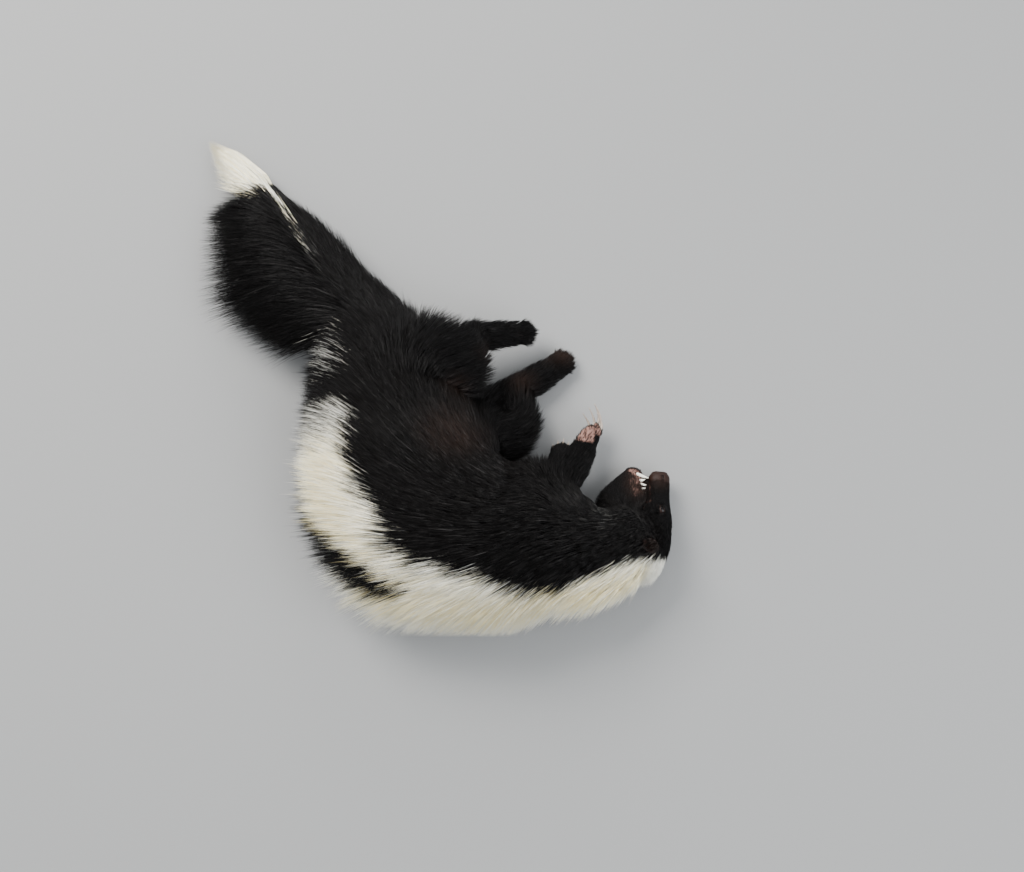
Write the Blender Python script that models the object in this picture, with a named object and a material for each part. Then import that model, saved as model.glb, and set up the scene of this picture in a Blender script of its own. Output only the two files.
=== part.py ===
"""Striped skunk, adult, life size, lying on its right side with the body
curled in a C.  The solids show the animal out to the tips of its coat.

Frame: metres, +Z up.  The floor is z = 0 and the origin is the middle of the
model's box on the floor.  The head points along +Y at the +X end, the belly
and the legs lie inside the curve of the C, and the tail runs to -X +Y.
"""
import math
import bmesh
import bpy
import numpy as np
from mathutils import Matrix, Vector

for old in list(bpy.data.objects):
    bpy.data.objects.remove(old, do_unlink=True)

MM = 0.001
GAP = 0.3            # clear space between two neighbouring pieces, mm
CENTRE = (-2.15, 6.7)  # moves the plan below so that its box is centred, mm

# ---------------------------------------------------------------- sizes, mm
# Every row is one cross-section of a tapering form, placed at (x, y, z):
# (x, y, z, half-size to the right of travel, to the left, upwards, downwards)
DORSAL_DROOP = 16    # how far the long hair of the back hangs to the floor

TRUNK = [            # tail root to neck; the back is on the right
    (-48, 12, 42, 44, 50, 34, 46),
    (-37, -22, 45, 64, 60, 46, 49),
    (-23, -62, 46, 86, 78, 51, 50),
    (-7, -104, 46, 106, 84, 47, 50),
    (20, -138, 47, 111, 80, 51, 51),
    (62, -159, 47, 80, 76, 54, 51),
    (104, -160, 46, 66, 76, 51, 50),
    (138, -161, 42, 52, 46, 42, 45),
]
NECK = [             # shoulders to the back of the skull
    (122, -160, 44, 60, 55, 44, 47),
    (150, -160, 40, 52, 42, 39, 42),
    (173, -153, 36, 43, 34, 34, 37),
    (184, -148, 32, 27, 30, 26, 31),
    (189, -139, 29, 18, 25, 20, 25),
]
HEAD = [             # back of the skull to the nose; the brow is on the right
    (193.5, -176, 31, 13, 26, 20, 22),
    (195, -170, 30, 16, 33, 23.5, 27),
    (196.8, -158, 28.5, 18, 35, 25, 28),
    (198.4, -146, 26.5, 17.6, 32, 24, 26.5),
    (200.1, -134.5, 24.5, 15.8, 26, 21, 23.5),
    (201.5, -124.7, 22.5, 13.4, 17, 16.5, 18),
    (202.6, -116.8, 21, 11.2, 11.2, 12.8, 13),
    (203.7, -108.8, 19.5, 10.2, 10.2, 10.8, 10.8),
    (204.6, -100.9, 18, 9.8, 10.2, 9.8, 9.8),
    (205.0, -96.0, 17.2, 8.8, 9.2, 8.6, 8.6),
]
HEAD_TIP = 4.2
JAW = [              # chin to cheek; the mouth is on the left
    (182.5, -92.5, 17.0, 7.5, 7.2, 7.0, 7.0),
    (181.5, -98, 17.6, 12.0, 10.2, 9.0, 9.0),
    (179.5, -107, 19.0, 20.0, 13.4, 12.0, 12.4),
    (177.5, -118, 21.5, 30.0, 16.5, 16.0, 16.5),
    (176.5, -131, 24.0, 35.0, 19.5, 20.0, 20.5),
]
TAIL = [             # root to tip; the broad fan of hair is on the left
    (-44, 6, 42, 50, 44, 36, 44),
    (-73, 38, 37, 50, 62, 32, 39),
    (-98, 66, 32, 48, 67, 29, 34),
    (-123, 97, 28, 50, 70, 26, 30),
    (-146, 130, 24, 40, 56, 23, 26),
    (-167, 163, 18, 22, 38, 17, 20),
    (-188, 196, 11.5, 17, 19, 11, 13),
    (-202, 217, 7.0, 11, 11, 6.5, 8.5),
]
LEG_HIND_LEFT = [    # hip, thigh, knee, then the shank back to the hock
    (-30, -22, 56, 44, 46, 38, 36),
    (-8, -14, 57, 40, 50, 33, 36),
    (16, -14, 57, 30, 46, 26, 32),
    (33, -12, 55, 20, 38, 19, 26),
]
SHANK_HIND_LEFT = [
    (22, -26, 58, 20, 17, 19, 20),
    (30, -8, 55, 20, 18, 17, 18),
    (35, 8, 50, 16, 18, 14, 15),
    (36, 22, 45, 10.5, 13, 10.5, 11),
]
FOOT_HIND_LEFT = [
    (27, 24, 44, 20, 9.5, 11, 13),
    (42, 25, 42, 17, 10.5, 10, 11),
    (58, 27, 36.5, 12, 10.5, 8.8, 8.8),
    (74, 30, 30.5, 9.8, 9.8, 7.4, 7.2),
    (84, 31.5, 27.5, 8.4, 8.4, 6.0, 6.0),
]
LEG_HIND_RIGHT = [
    (6, -62, 27, 30, 34, 24, 30),
    (40, -66, 25, 27, 30, 22, 28),
    (68, -62, 22, 22, 24, 19, 25),
    (80, -50, 19, 17, 20, 16.5, 22),
    (79, -34, 17, 15.5, 17, 14.5, 20),
    (77, -22, 15.5, 14, 13, 12.5, 17),
]
FOOT_HIND_RIGHT = [
    (44, -40, 20, 14, 13, 14, 19),
    (60, -29, 17, 13, 12.5, 12, 16),
    (82, -17, 14.5, 12.5, 12, 10.5, 14),
    (98, -7, 13, 12, 11.5, 9.5, 13),
    (111, 2, 11, 10.5, 10, 8, 11.5),
    (119, 7.5, 10, 8.6, 8.6, 6.6, 10.5),
]
LEG_FORE_LEFT = [
    (110, -140, 60, 30, 34, 27, 34),
    (108, -120, 54, 30, 30, 24, 30),
    (116, -104, 46, 22, 19, 18, 22),
    (128, -89, 36, 15, 14.5, 13.5, 14.5),
    (137, -76, 28, 11, 11.5, 10, 10.5),
]
PAW_FORE_LEFT = [
    (134, -81, 30, 9.4, 9.8, 9.4, 9.6),
    (140, -70, 25, 8.8, 11.0, 9.4, 9.6),
    (144.8, -61, 20.4, 7.8, 10.8, 9.0, 9.0),
    (147.4, -56, 18.6, 6.8, 8.4, 7.6, 7.6),
]
LEG_FORE_RIGHT = [
    (112, -132, 24, 24, 26, 20, 28),
    (104, -106, 19, 20, 20, 16.5, 23),
    (111, -96, 15, 14, 13.5, 12.5, 18),
    (117, -87, 12.5, 11, 11, 9.5, 14.5),
]
PAW_FORE_RIGHT = [
    (115, -91, 13, 10, 10, 9, 14),
    (118, -83, 11, 10.8, 10.8, 8, 12),
    (120, -75, 9.5, 10.2, 10.2, 6.6, 10.2),
    (120.5, -71, 8.8, 8.8, 8.8, 5.4, 9.2),
]

# one toe: its root, its tip, half-thickness, and the claw's length and drop
TOE_FORE_LOW = dict(length=8.5, radius=3.3, claw=7.5, claw_radius=1.25, curl=3.2)
TOE_FORE_UP = dict(length=9.5, radius=3.3, claw=15.5, claw_radius=1.35, curl=11.0)
TOE_HIND = dict(length=9.0, radius=3.1, claw=6.5, claw_radius=1.0, curl=2.2)

EYE_RADIUS = 4.1
EYES = {'eye_left': (203.6, -129.6, 39.6), 'eye_right': (203.8, -129.0, 6.6)}
# centre, half-sizes (across, along, thick), and turns about Z, Y and X
EARS = {'ear_left': ((191.6, -160.6, 61.8), (7.4, 8.2, 2.8), (0, 26, -20)),
        'ear_right': ((207.5, -163.5, 7.4), (7.0, 8.0, 2.6), (10, 24, 0))}
# lower teeth: place on the gum, height, thickness
CANINE = dict(height=6.2, radius=1.25)
CHEEK_TOOTH = dict(height=3.4, radius=1.0, count=2, pitch=3.8)

# ------------------------------------------------------------- small tools


def spline(rows, steps):
    """Catmull-Rom through the rows, evenly in the rows' own parameter."""
    p = np.array(rows, float)
    p = np.vstack([2 * p[0] - p[1], p, 2 * p[-1] - p[-2]])
    out = []
    for i in range(1, len(p) - 2):
        a, b, c, d = p[i - 1], p[i], p[i + 1], p[i + 2]
        for k in range(steps):
            t = k / steps
            out.append(0.5 * (2 * b + (c - a) * t + (2 * a - 5 * b + 4 * c - d) * t * t
                              + (3 * b - a - 3 * c + d) * t ** 3))
    out.append(p[-2])
    return np.array(out)


def loft(rows, steps=5, sides=28, tip=None, root=None, power=2.2, droop=0.0,
         caps=(0.3, 0.6, 0.85, 0.98)):
    """A closed tapering form through the rows, with rounded ends.

    tip and root are how far the round ends reach past the last and the first
    row; droop lets the right-hand side sag towards the floor."""
    s = spline(rows, steps)
    if tip is None:
        tip = 0.45 * min(s[-1, 3:5])
    if root is None:
        root = 0.45 * min(s[0, 3:5])
    centre = s[:, :3]
    tangent = np.gradient(centre, axis=0)
    tangent /= np.linalg.norm(tangent, axis=1)[:, None]
    rings = []
    for end, reach, order in ((0, root, caps[::-1]), (-1, tip, caps)):
        group = []
        for q in order:
            row = s[end].copy()
            row[:3] += tangent[end] * reach * q * (1 if end else -1)
            row[3:] *= math.sqrt(1 - q * q)
            group.append((row, tangent[end]))
        rings.append(group)
    body = [(s[i], tangent[i]) for i in range(len(s))]
    bm = bmesh.new()
    loops = []
    for row, t in rings[0] + body + rings[1]:
        left = np.cross((0, 0, 1.0), t)
        left /= np.linalg.norm(left)
        up = np.cross(t, left)
        loop = []
        for j in range(sides):
            a = 2 * math.pi * j / sides
            cx = math.copysign(abs(math.cos(a)) ** (2 / power), math.cos(a))
            cy = math.copysign(abs(math.sin(a)) ** (2 / power), math.sin(a))
            w = cx * (row[4] if cx > 0 else row[3])
            h = cy * (row[5] if cy > 0 else row[6])
            pos = row[:3] + left * w + up * h
            if droop and cx < 0:
                pos[2] -= droop * cx * cx * (row[3] / 100.0)
            loop.append(bm.verts.new(pos))
        loops.append(loop)
    for a, b in zip(loops, loops[1:]):
        for j in range(sides):
            k = (j + 1) % sides
            bm.faces.new((a[j], a[k], b[k], b[j]))
    for loop, reach, end, flip in ((loops[0], root, 0, True), (loops[-1], tip, -1, False)):
        pole = bm.verts.new(s[end, :3] + tangent[end] * reach * (1 if end else -1))
        for j in range(sides):
            k = (j + 1) % sides
            bm.faces.new((pole, loop[k], loop[j]) if flip else (loop[j], loop[k], pole))
    bmesh.ops.recalc_face_normals(bm, faces=bm.faces)
    return bm


def to_object(bm, name):
    mesh = bpy.data.meshes.new(name)
    bm.to_mesh(mesh)
    bm.free()
    ob = bpy.data.objects.new(name, mesh)
    bpy.context.scene.collection.objects.link(ob)
    return ob


def apply_modifiers(ob):
    """Keep the evaluated shape as the object's own mesh."""
    mesh = bpy.data.meshes.new_from_object(
        ob.evaluated_get(bpy.context.evaluated_depsgraph_get()))
    ob.modifiers.clear()
    ob.data = mesh
    return ob


def merged(bms, name, voxel, smooth, triangles):
    """Overlapping forms fused into one skin, smoothed, and thinned out."""
    mesh = bpy.data.meshes.new(name)
    bm = bmesh.new()
    for part in bms:
        part.to_mesh(mesh)
        part.free()
        bm.from_mesh(mesh)
    ob = to_object(bm, name)
    mod = ob.modifiers.new('fuse', 'REMESH')
    mod.mode = 'VOXEL'
    mod.voxel_size = voxel
    mod.adaptivity = 0.0
    mod = ob.modifiers.new('soften', 'SMOOTH')
    mod.factor = 0.5
    mod.iterations = smooth
    apply_modifiers(ob)
    count = sum(len(p.vertices) - 2 for p in ob.data.polygons)
    mod = ob.modifiers.new('thin', 'DECIMATE')
    mod.ratio = triangles / count
    apply_modifiers(ob)
    return ob


def boolean(ob, other, operation):
    mod = ob.modifiers.new(operation.lower(), 'BOOLEAN')
    mod.operation = operation
    mod.object = other
    mod.solver = 'EXACT'
    apply_modifiers(ob)


def block(name, at, size, yaw=0.0, pitch=0.0, roll=0.0):
    """A box cutter: centre, full sizes, and its turn about Z, Y and X."""
    bm = bmesh.new()
    bmesh.ops.create_cube(bm, size=1.0)
    turn = (Matrix.Rotation(math.radians(yaw), 4, 'Z')
            @ Matrix.Rotation(math.radians(pitch), 4, 'Y')
            @ Matrix.Rotation(math.radians(roll), 4, 'X'))
    bmesh.ops.transform(bm, verts=bm.verts,
                        matrix=Matrix.Translation(at) @ turn @ Matrix.Diagonal((*size, 1)))
    return to_object(bm, name)


def copy_of(ob, name):
    new = bpy.data.objects.new(name, ob.data.copy())
    bpy.context.scene.collection.objects.link(new)
    return new


def drop(ob):
    bpy.data.objects.remove(ob, do_unlink=True)


def largest_piece(ob):
    """Keep only the biggest connected body of a cut piece."""
    bm = bmesh.new()
    bm.from_mesh(ob.data)
    seen, groups = set(), []
    for v in bm.verts:
        if v in seen:
            continue
        stack, group = [v], []
        seen.add(v)
        while stack:
            w = stack.pop()
            group.append(w)
            for e in w.link_edges:
                o = e.other_vert(w)
                if o not in seen:
                    seen.add(o)
                    stack.append(o)
        groups.append(group)
    if len(groups) > 1:
        groups.sort(key=len)
        for group in groups[:-1]:
            bmesh.ops.delete(bm, geom=group, context='VERTS')
        bm.to_mesh(ob.data)
    bm.free()


def cutter(boxes, grow=0.0):
    """Boxes joined into one cutter, each face moved out by grow."""
    whole = None
    for at, size, *turn in boxes:
        one = block('cutter', at, [v + 2 * grow for v in size], *turn)
        if whole is None:
            whole = one
        else:
            boolean(whole, one, 'UNION')
            drop(one)
    return whole


def split(ob, name, boxes):
    """Part the piece inside the boxes from ob, with a thin clear gap."""
    tool = cutter(boxes)
    piece = copy_of(ob, name)
    boolean(piece, tool, 'INTERSECT')
    drop(tool)
    tool = cutter(boxes, GAP)
    boolean(ob, tool, 'DIFFERENCE')
    drop(tool)
    largest_piece(piece)
    largest_piece(ob)
    return piece


def beyond(point, yaw, reach, width, height=(-20, 130), side=0.0):
    """A box that starts at a vertical plane through the point and runs on
    along yaw; side moves it to the left of that way."""
    c, s = math.cos(math.radians(yaw)), math.sin(math.radians(yaw))
    x = point[0] + c * reach / 2 - s * side
    y = point[1] + s * reach / 2 + c * side
    return ((x, y, (height[0] + height[1]) / 2), (reach, width, height[1] - height[0]), yaw)


def seat(host, piece):
    """Cut a seat for the piece into its host, a thin gap all round."""
    grown = copy_of(piece, 'seat')
    bm = bmesh.new()
    bm.from_mesh(grown.data)
    bm.normal_update()
    for v, n in [(v, v.normal.copy()) for v in bm.verts]:
        v.co += n * GAP * 1.25
    bm.to_mesh(grown.data)
    bm.free()
    boolean(host, grown, 'DIFFERENCE')
    drop(grown)
    largest_piece(host)


def toes(root, along, across, up, count, spec, spread, size=1.0):
    """Toes with their claws, side by side across the end of a paw.

    Returns lofts, each closed, that overlap the paw and each other."""
    root, along, across, up = (Vector(v) for v in (root, along, across, up))
    along, across, up = along.normalized(), across.normalized(), up.normalized()
    out = []
    for i in range(count):
        f = (i / (count - 1)) * 2 - 1
        short = 1.0 - 0.28 * abs(f) ** 1.5
        way = (along + across * f * 0.22).normalized()
        at = root + across * f * spread - along * abs(f) * 2.4
        length, r = spec['length'] * short * size, spec['radius'] * size * (1 - 0.1 * abs(f))
        rows = []
        for q, w, lift in ((-0.35, 0.9, 0.0), (0.5, 1.0, 0.9), (1.0, 0.75, -0.5)):
            c = at + way * length * q + up * lift * size
            rows.append((*c, r * w, r * w, r * w, r * w))
        out.append(loft(rows, steps=1, sides=6, tip=r * 0.35, root=0.2, power=2.0, caps=()))
        tip = at + way * (length + r * 0.1)
        rows = []
        for q in (0.0, 0.5, 1.0):
            c = (tip + way * spec['claw'] * short * size * q
                 - up * spec['curl'] * q * q * size + up * 0.4)
            w = spec['claw_radius'] * size * (1 - 0.72 * q)
            rows.append((*c, w, w, w * 1.15, w * 1.15))
        out.append(loft(rows, steps=1, sides=4, tip=0.4, root=2.2, power=2.0, caps=()))
    return out


def add_all(ob, bms, name):
    for i, bm in enumerate(bms):
        other = to_object(bm, f'{name}_{i}')
        boolean(ob, other, 'UNION')
        drop(other)


# ------------------------------------------------------------------ the body
body = merged(
    [loft(TRUNK, droop=DORSAL_DROOP), loft(NECK), loft(HEAD, tip=HEAD_TIP), loft(JAW),
     loft(TAIL, tip=5), loft(LEG_HIND_LEFT), loft(SHANK_HIND_LEFT), loft(FOOT_HIND_LEFT),
     loft(LEG_HIND_RIGHT), loft(FOOT_HIND_RIGHT), loft(LEG_FORE_LEFT), loft(PAW_FORE_LEFT),
     loft(LEG_FORE_RIGHT), loft(PAW_FORE_RIGHT)],
    'body', voxel=2.4, smooth=3, triangles=3100)
skull = merged(
    [loft(NECK), loft(HEAD, tip=HEAD_TIP, sides=36), loft(JAW, sides=32)],
    'skull', voxel=1.2, smooth=3, triangles=1400)

for ob in (body, skull):
    floor_cut = block('floor_cut', (0, 0, -50), (900, 900, 100))
    boolean(ob, floor_cut, 'DIFFERENCE')
    drop(floor_cut)

# tail, in three lengths
tail_base = split(body, 'tail_base', [beyond((-50, 12), 130.5, 320, 240)])
tail_middle = split(tail_base, 'tail_middle', [beyond((-107, 76), 128, 250, 240)])
tail_tip = split(tail_middle, 'tail_tip', [beyond((-164, 158), 123, 150, 160)])

# head and neck
HEAD_CUT = [beyond((176, -153), 34, 160, 124)]
drop(split(body, 'rough_head', HEAD_CUT))
head = split(skull, 'head', HEAD_CUT)
drop(skull)
neck = split(body, 'neck', [beyond((139, -165), 0, 110, 136)])

# the mouth: a slit, a little open at the front, then the jaw below it
slit = block('slit', (193.2, -101, 20), (1.6, 31, 90), yaw=1.5)
boolean(head, slit, 'DIFFERENCE')
drop(slit)
jaw = split(head, 'jaw', [((166.6, -99.5, 20), (53.0, 35.0, 90.0), 1.5)])
teeth = []
for side in (1, -1):
    for i in range(CHEEK_TOOTH['count'] + 1):
        size = CANINE if i == 0 else CHEEK_TOOTH
        y = -94.6 - (0 if i == 0 else 2.2 + CHEEK_TOOTH['pitch'] * (i - 0.3))
        z = 17.3 + side * (5.4 + 0.6 * i) + 0.12 * i
        h, r = size['height'], size['radius']
        foot = Vector((187.6 + 0.6 * i, y, z))
        rows = [(*(foot + Vector((q * h, -0.12 * q * q * h, side * 0.1 * q * h))),
                 *(4 * (r * (1 - 0.75 * max(q, 0) ** 1.3),)))
                for q in (-0.45, 0.0, 0.55, 1.0)]
        teeth.append(loft(rows, steps=1, sides=5, tip=0.3, root=0.3, power=2.0, caps=()))
add_all(jaw, teeth, 'tooth')

# nose, eyes and ears
nose = split(head, 'nose', [((207, -87.6, 17), (30, 14, 40), 4)])
for name, at in EYES.items():
    bm = bmesh.new()
    bmesh.ops.create_uvsphere(bm, u_segments=12, v_segments=7, radius=EYE_RADIUS)
    bmesh.ops.translate(bm, verts=bm.verts, vec=at)
    seat(head, to_object(bm, name))
for name, (at, half, (yaw, pitch, roll)) in EARS.items():
    bm = bmesh.new()
    bmesh.ops.create_uvsphere(bm, u_segments=12, v_segments=6, radius=1.0)
    turn = (Matrix.Rotation(math.radians(yaw), 4, 'Z') @ Matrix.Rotation(math.radians(pitch), 4, 'Y')
            @ Matrix.Rotation(math.radians(roll), 4, 'X'))
    bmesh.ops.transform(bm, verts=bm.verts,
                        matrix=Matrix.Translation(at) @ turn @ Matrix.Diagonal((*half, 1)))
    ear = to_object(bm, name)
    seat(head, ear)
    seat(neck, ear)

# legs, each with its paw
HOCK_LEFT, HOCK_RIGHT = (51, 25.5), (86, -14.5)
WRIST_LEFT, WRIST_RIGHT = (136, -77.5), (116.5, -87.5)
leg_fore_right = split(body, 'leg_fore_right', [
    ((130, -91, 40), (92, 30, 120)), ((139, -52, 40), (70, 60, 120))])
leg_fore_left = split(leg_fore_right, 'leg_fore_left', [
    ((155.5, -80, 61.9), (150, 140, 100), 0, 39, 0)])
paw_fore_left = split(leg_fore_left, 'paw_fore_left', [beyond(WRIST_LEFT, 58, 60, 50)])
paw_fore_right = split(leg_fore_right, 'paw_fore_right', [beyond(WRIST_RIGHT, 68, 60, 60)])
leg_hind_left = split(body, 'leg_hind_left', [
    beyond((3, 1), 8, 47, 124, (33, 120)),
    beyond((40, 36), 8, 90, 60, (-20, 120))])
paw_hind_left = split(leg_hind_left, 'paw_hind_left', [beyond(HOCK_LEFT, 10, 60, 50)])
leg_hind_right = split(body, 'leg_hind_right', [
    beyond((52, -34), -4, 100, 106, (-20, 41))])
paw_hind_right = split(leg_hind_right, 'paw_hind_right', [beyond(HOCK_RIGHT, 36, 60, 60)])
body.name = 'trunk'
add_all(paw_fore_left, toes((146.2, -58.5, 19.0), (0.44, 0.86, -0.15), (-0.545, 0.134, -0.828),
                            (0.75, -0.35, -0.55), 5, TOE_FORE_UP, 6.6), 'toe')
add_all(paw_fore_right, toes((119.6, -74.5, 8.6), (0.12, 0.99, -0.12), (0.99, -0.12, 0.0),
                             (0, 0.12, 0.99), 5, TOE_FORE_LOW, 6.8, size=0.95), 'toe')
add_all(paw_hind_left, toes((83, 31, 28.0), (0.94, 0.12, -0.3), (-0.12, 0.99, 0.0),
                            (0.3, 0, 0.95), 5, TOE_HIND, 6.0), 'toe')
add_all(paw_hind_right, toes((118, 7, 9.5), (0.82, 0.56, -0.12), (-0.56, 0.82, 0.0),
                             (0.1, 0.07, 0.99), 5, TOE_HIND, 6.6), 'toe')

# ------------------------------------------------------------------ finishes
FUR_BLACK = ((0.018, 0.016, 0.016), 0.75)
FUR_PIED = ((0.10, 0.095, 0.085), 0.8)
SKIN_DARK = ((0.055, 0.032, 0.026), 0.5)
HORN = ((0.52, 0.43, 0.33), 0.4)
EYE_DARK = ((0.01, 0.008, 0.007), 0.08)
FINISH = {'trunk': FUR_PIED, 'neck': FUR_PIED, 'tail_tip': FUR_PIED, 'nose': SKIN_DARK,
          'ear_left': SKIN_DARK, 'ear_right': SKIN_DARK, 'eye_left': EYE_DARK,
          'eye_right': EYE_DARK}

for ob in list(bpy.context.scene.objects):
    colour, roughness = FINISH.get(ob.name, FUR_BLACK)
    mat = bpy.data.materials.new(ob.name)
    mat.use_nodes = True
    shader = mat.node_tree.nodes['Principled BSDF']
    shader.inputs['Base Color'].default_value = (*colour, 1)
    shader.inputs['Roughness'].default_value = roughness
    shader.inputs['Metallic'].default_value = 0.0
    mat.diffuse_color = (*colour, 1)
    ob.data.materials.clear()
    ob.data.materials.append(mat)
    # millimetres to metres, with each piece's origin at the middle of its box
    move = Matrix.Translation((CENTRE[0], CENTRE[1], 0))
    ob.data.transform(Matrix.Scale(MM, 4) @ move)
    corners = np.array([v.co for v in ob.data.vertices])
    middle = Vector((corners.min(0) + corners.max(0)) / 2)
    ob.data.transform(Matrix.Translation(-middle))
    ob.location = middle
    for p in ob.data.polygons:
        p.material_index = 0
    ob.data.shade_smooth()
    ob.data.set_sharp_from_angle(angle=math.radians(40))
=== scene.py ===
"""Looks of the striped skunk: one skin, a coat of solid tufts, eyes, nose,
claws and teeth, a plain floor, soft light and the camera."""
import math
import bmesh
import bpy
import numpy as np
from mathutils import Matrix, Vector
from mathutils.bvhtree import BVHTree
from mathutils.kdtree import KDTree


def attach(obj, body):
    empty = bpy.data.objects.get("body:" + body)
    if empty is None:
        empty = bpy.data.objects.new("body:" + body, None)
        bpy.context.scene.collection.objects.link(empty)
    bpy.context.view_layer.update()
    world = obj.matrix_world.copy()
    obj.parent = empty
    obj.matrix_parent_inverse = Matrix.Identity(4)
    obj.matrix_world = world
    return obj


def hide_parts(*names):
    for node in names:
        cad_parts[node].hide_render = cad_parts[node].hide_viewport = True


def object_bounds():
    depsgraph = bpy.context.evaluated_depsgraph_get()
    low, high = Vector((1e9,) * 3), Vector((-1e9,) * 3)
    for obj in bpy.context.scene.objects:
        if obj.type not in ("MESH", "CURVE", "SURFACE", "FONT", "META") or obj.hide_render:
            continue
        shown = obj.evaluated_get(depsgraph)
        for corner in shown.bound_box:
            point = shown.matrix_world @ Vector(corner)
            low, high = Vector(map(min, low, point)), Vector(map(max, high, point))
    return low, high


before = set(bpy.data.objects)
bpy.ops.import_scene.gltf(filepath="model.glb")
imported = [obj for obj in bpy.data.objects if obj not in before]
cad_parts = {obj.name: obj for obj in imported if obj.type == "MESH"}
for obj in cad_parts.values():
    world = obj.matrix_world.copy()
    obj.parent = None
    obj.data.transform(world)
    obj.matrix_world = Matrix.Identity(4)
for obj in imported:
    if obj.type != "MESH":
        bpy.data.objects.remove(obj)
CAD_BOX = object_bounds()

MM = 0.001
CENTRE = np.array([-2.15, 6.7, 0.0])     # same shift of the plan as the solids
rng = np.random.default_rng(20)


def unit(v):
    v = np.asarray(v, float)
    return v / np.maximum(np.linalg.norm(v, axis=-1, keepdims=True), 1e-12)


def smooth01(x, a, b):
    t = np.clip((x - a) / (b - a), 0, 1)
    return t * t * (3 - 2 * t)


# ------------------------------------------------------------ camera, stage
def make_stage():
    cam = bpy.data.cameras.new('camera')
    cam.sensor_width = 36
    cam.lens = 43.95
    ob = bpy.data.objects.new('camera', cam)
    ob.location = (0.07285, -0.2460, 1.110)
    ob.rotation_euler = (math.radians(10), 0, 0)
    bpy.context.scene.collection.objects.link(ob)
    bpy.context.scene.camera = ob

    bm = bmesh.new()
    bmesh.ops.create_grid(bm, x_segments=1, y_segments=1, size=3.0)
    mesh = bpy.data.meshes.new('floor')
    bm.to_mesh(mesh)
    bm.free()
    floor = bpy.data.objects.new('floor', mesh)
    floor.location.z = -0.0004
    bpy.context.scene.collection.objects.link(floor)
    mat = bpy.data.materials.new('floor')
    mat.use_nodes = True
    s = mat.node_tree.nodes['Principled BSDF']
    s.inputs['Base Color'].default_value = (0.215, 0.215, 0.212, 1)
    s.inputs['Roughness'].default_value = 0.9
    mesh.materials.append(mat)

    world = bpy.data.worlds.new('studio')
    world.use_nodes = True
    world.node_tree.nodes['Background'].inputs[0].default_value = (0.92, 0.96, 1.0, 1)
    world.node_tree.nodes['Background'].inputs[1].default_value = 1.45
    bpy.context.scene.world = world
    for name, at, size, power, tint in (
            ('key', (-0.9, 0.9, 1.5), 1.1, 82, (1.0, 0.98, 0.95)),
            ('fill', (1.2, -0.7, 1.3), 1.6, 38, (0.93, 0.96, 1.0)),
            ('rim', (0.2, 1.6, 0.7), 0.8, 12, (1.0, 1.0, 1.0))):
        light = bpy.data.lights.new(name, 'AREA')
        light.energy, light.size, light.color = power, size, tint
        ob = bpy.data.objects.new(name, light)
        ob.location = at
        ob.rotation_euler = (Vector((0.05, -0.02, 0.03)) - Vector(at)).to_track_quat('-Z', 'Y').to_euler()
        bpy.context.scene.collection.objects.link(ob)


make_stage()

# --------------------------------------------------------- the body's sizes
# The rows are the sections of the solids (x, y, z, right, left, up, down) in
# millimetres, and each has the coat's depth on its four sides, taken off here.
TRUNK = [
    ((-48, 12, 42, 44, 50, 34, 46), (14, 12, 10, 6)),
    ((-37, -22, 45, 64, 60, 46, 49), (22, 12, 10, 5)),
    ((-23, -62, 46, 86, 78, 51, 50), (32, 12, 10, 5)),
    ((-7, -104, 46, 106, 84, 47, 50), (40, 12, 10, 5)),
    ((20, -138, 47, 111, 80, 51, 51), (42, 12, 10, 5)),
    ((62, -159, 47, 80, 76, 54, 51), (30, 12, 10, 5)),
    ((104, -160, 46, 66, 76, 51, 50), (22, 11, 9, 5)),
    ((138, -161, 42, 52, 46, 42, 45), (16, 9, 9, 5)),
]
NECK = [
    ((122, -160, 44, 60, 55, 44, 47), (18, 10, 9, 5)),
    ((150, -160, 40, 52, 42, 39, 42), (15, 9, 8, 5)),
    ((173, -153, 36, 43, 34, 34, 37), (13, 8, 7, 5)),
    ((184, -148, 32, 27, 30, 26, 31), (9, 7, 6, 5)),
    ((189, -139, 29, 18, 25, 20, 25), (6, 6, 5, 5)),
]
HEAD = [
    ((193.5, -176, 31, 13, 26, 20, 22), (7, 6, 5, 5)),
    ((195, -170, 30, 16, 33, 23.5, 27), (7, 6, 5, 5)),
    ((196.8, -158, 28.5, 18, 35, 25, 28), (5, 6, 4.5, 4.5)),
    ((198.4, -146, 26.5, 17.6, 32, 24, 26.5), (4, 6, 4, 4)),
    ((200.1, -134.5, 24.5, 15.8, 26, 21, 23.5), (3.0, 5, 3.2, 3.2)),
    ((201.5, -124.7, 22.5, 13.4, 17, 16.5, 18), (2.3, 3, 2.4, 2.4)),
    ((202.6, -116.8, 21, 11.2, 11.2, 12.8, 13), (1.7, 1.4, 1.7, 1.7)),
    ((203.7, -108.8, 19.5, 10.2, 10.2, 10.8, 10.8), (1.2, 0.8, 1.2, 1.2)),
    ((204.6, -100.9, 18, 9.8, 10.2, 9.8, 9.8), (1.0, 0.9, 1.0, 1.0)),
    ((205.0, -97.5, 17.4, 9.2, 9.4, 9.0, 9.0), (1.2, 1.2, 1.2, 1.2)),
]
JAW = [
    ((182.5, -92.5, 17.0, 7.5, 7.2, 7.0, 7.0), (0.6, 0.4, 0.5, 0.5)),
    ((181.5, -98, 17.6, 12.0, 10.2, 9.0, 9.0), (1.4, 0.6, 0.8, 0.8)),
    ((179.5, -107, 19.0, 20.0, 13.4, 12.0, 12.4), (3.4, 0.9, 1.6, 1.6)),
    ((177.5, -118, 21.5, 30.0, 16.5, 16.0, 16.5), (7, 1.2, 3, 3)),
    ((176.5, -131, 24.0, 35.0, 19.5, 20.0, 20.5), (9, 3, 4.5, 4.5)),
]
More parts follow.
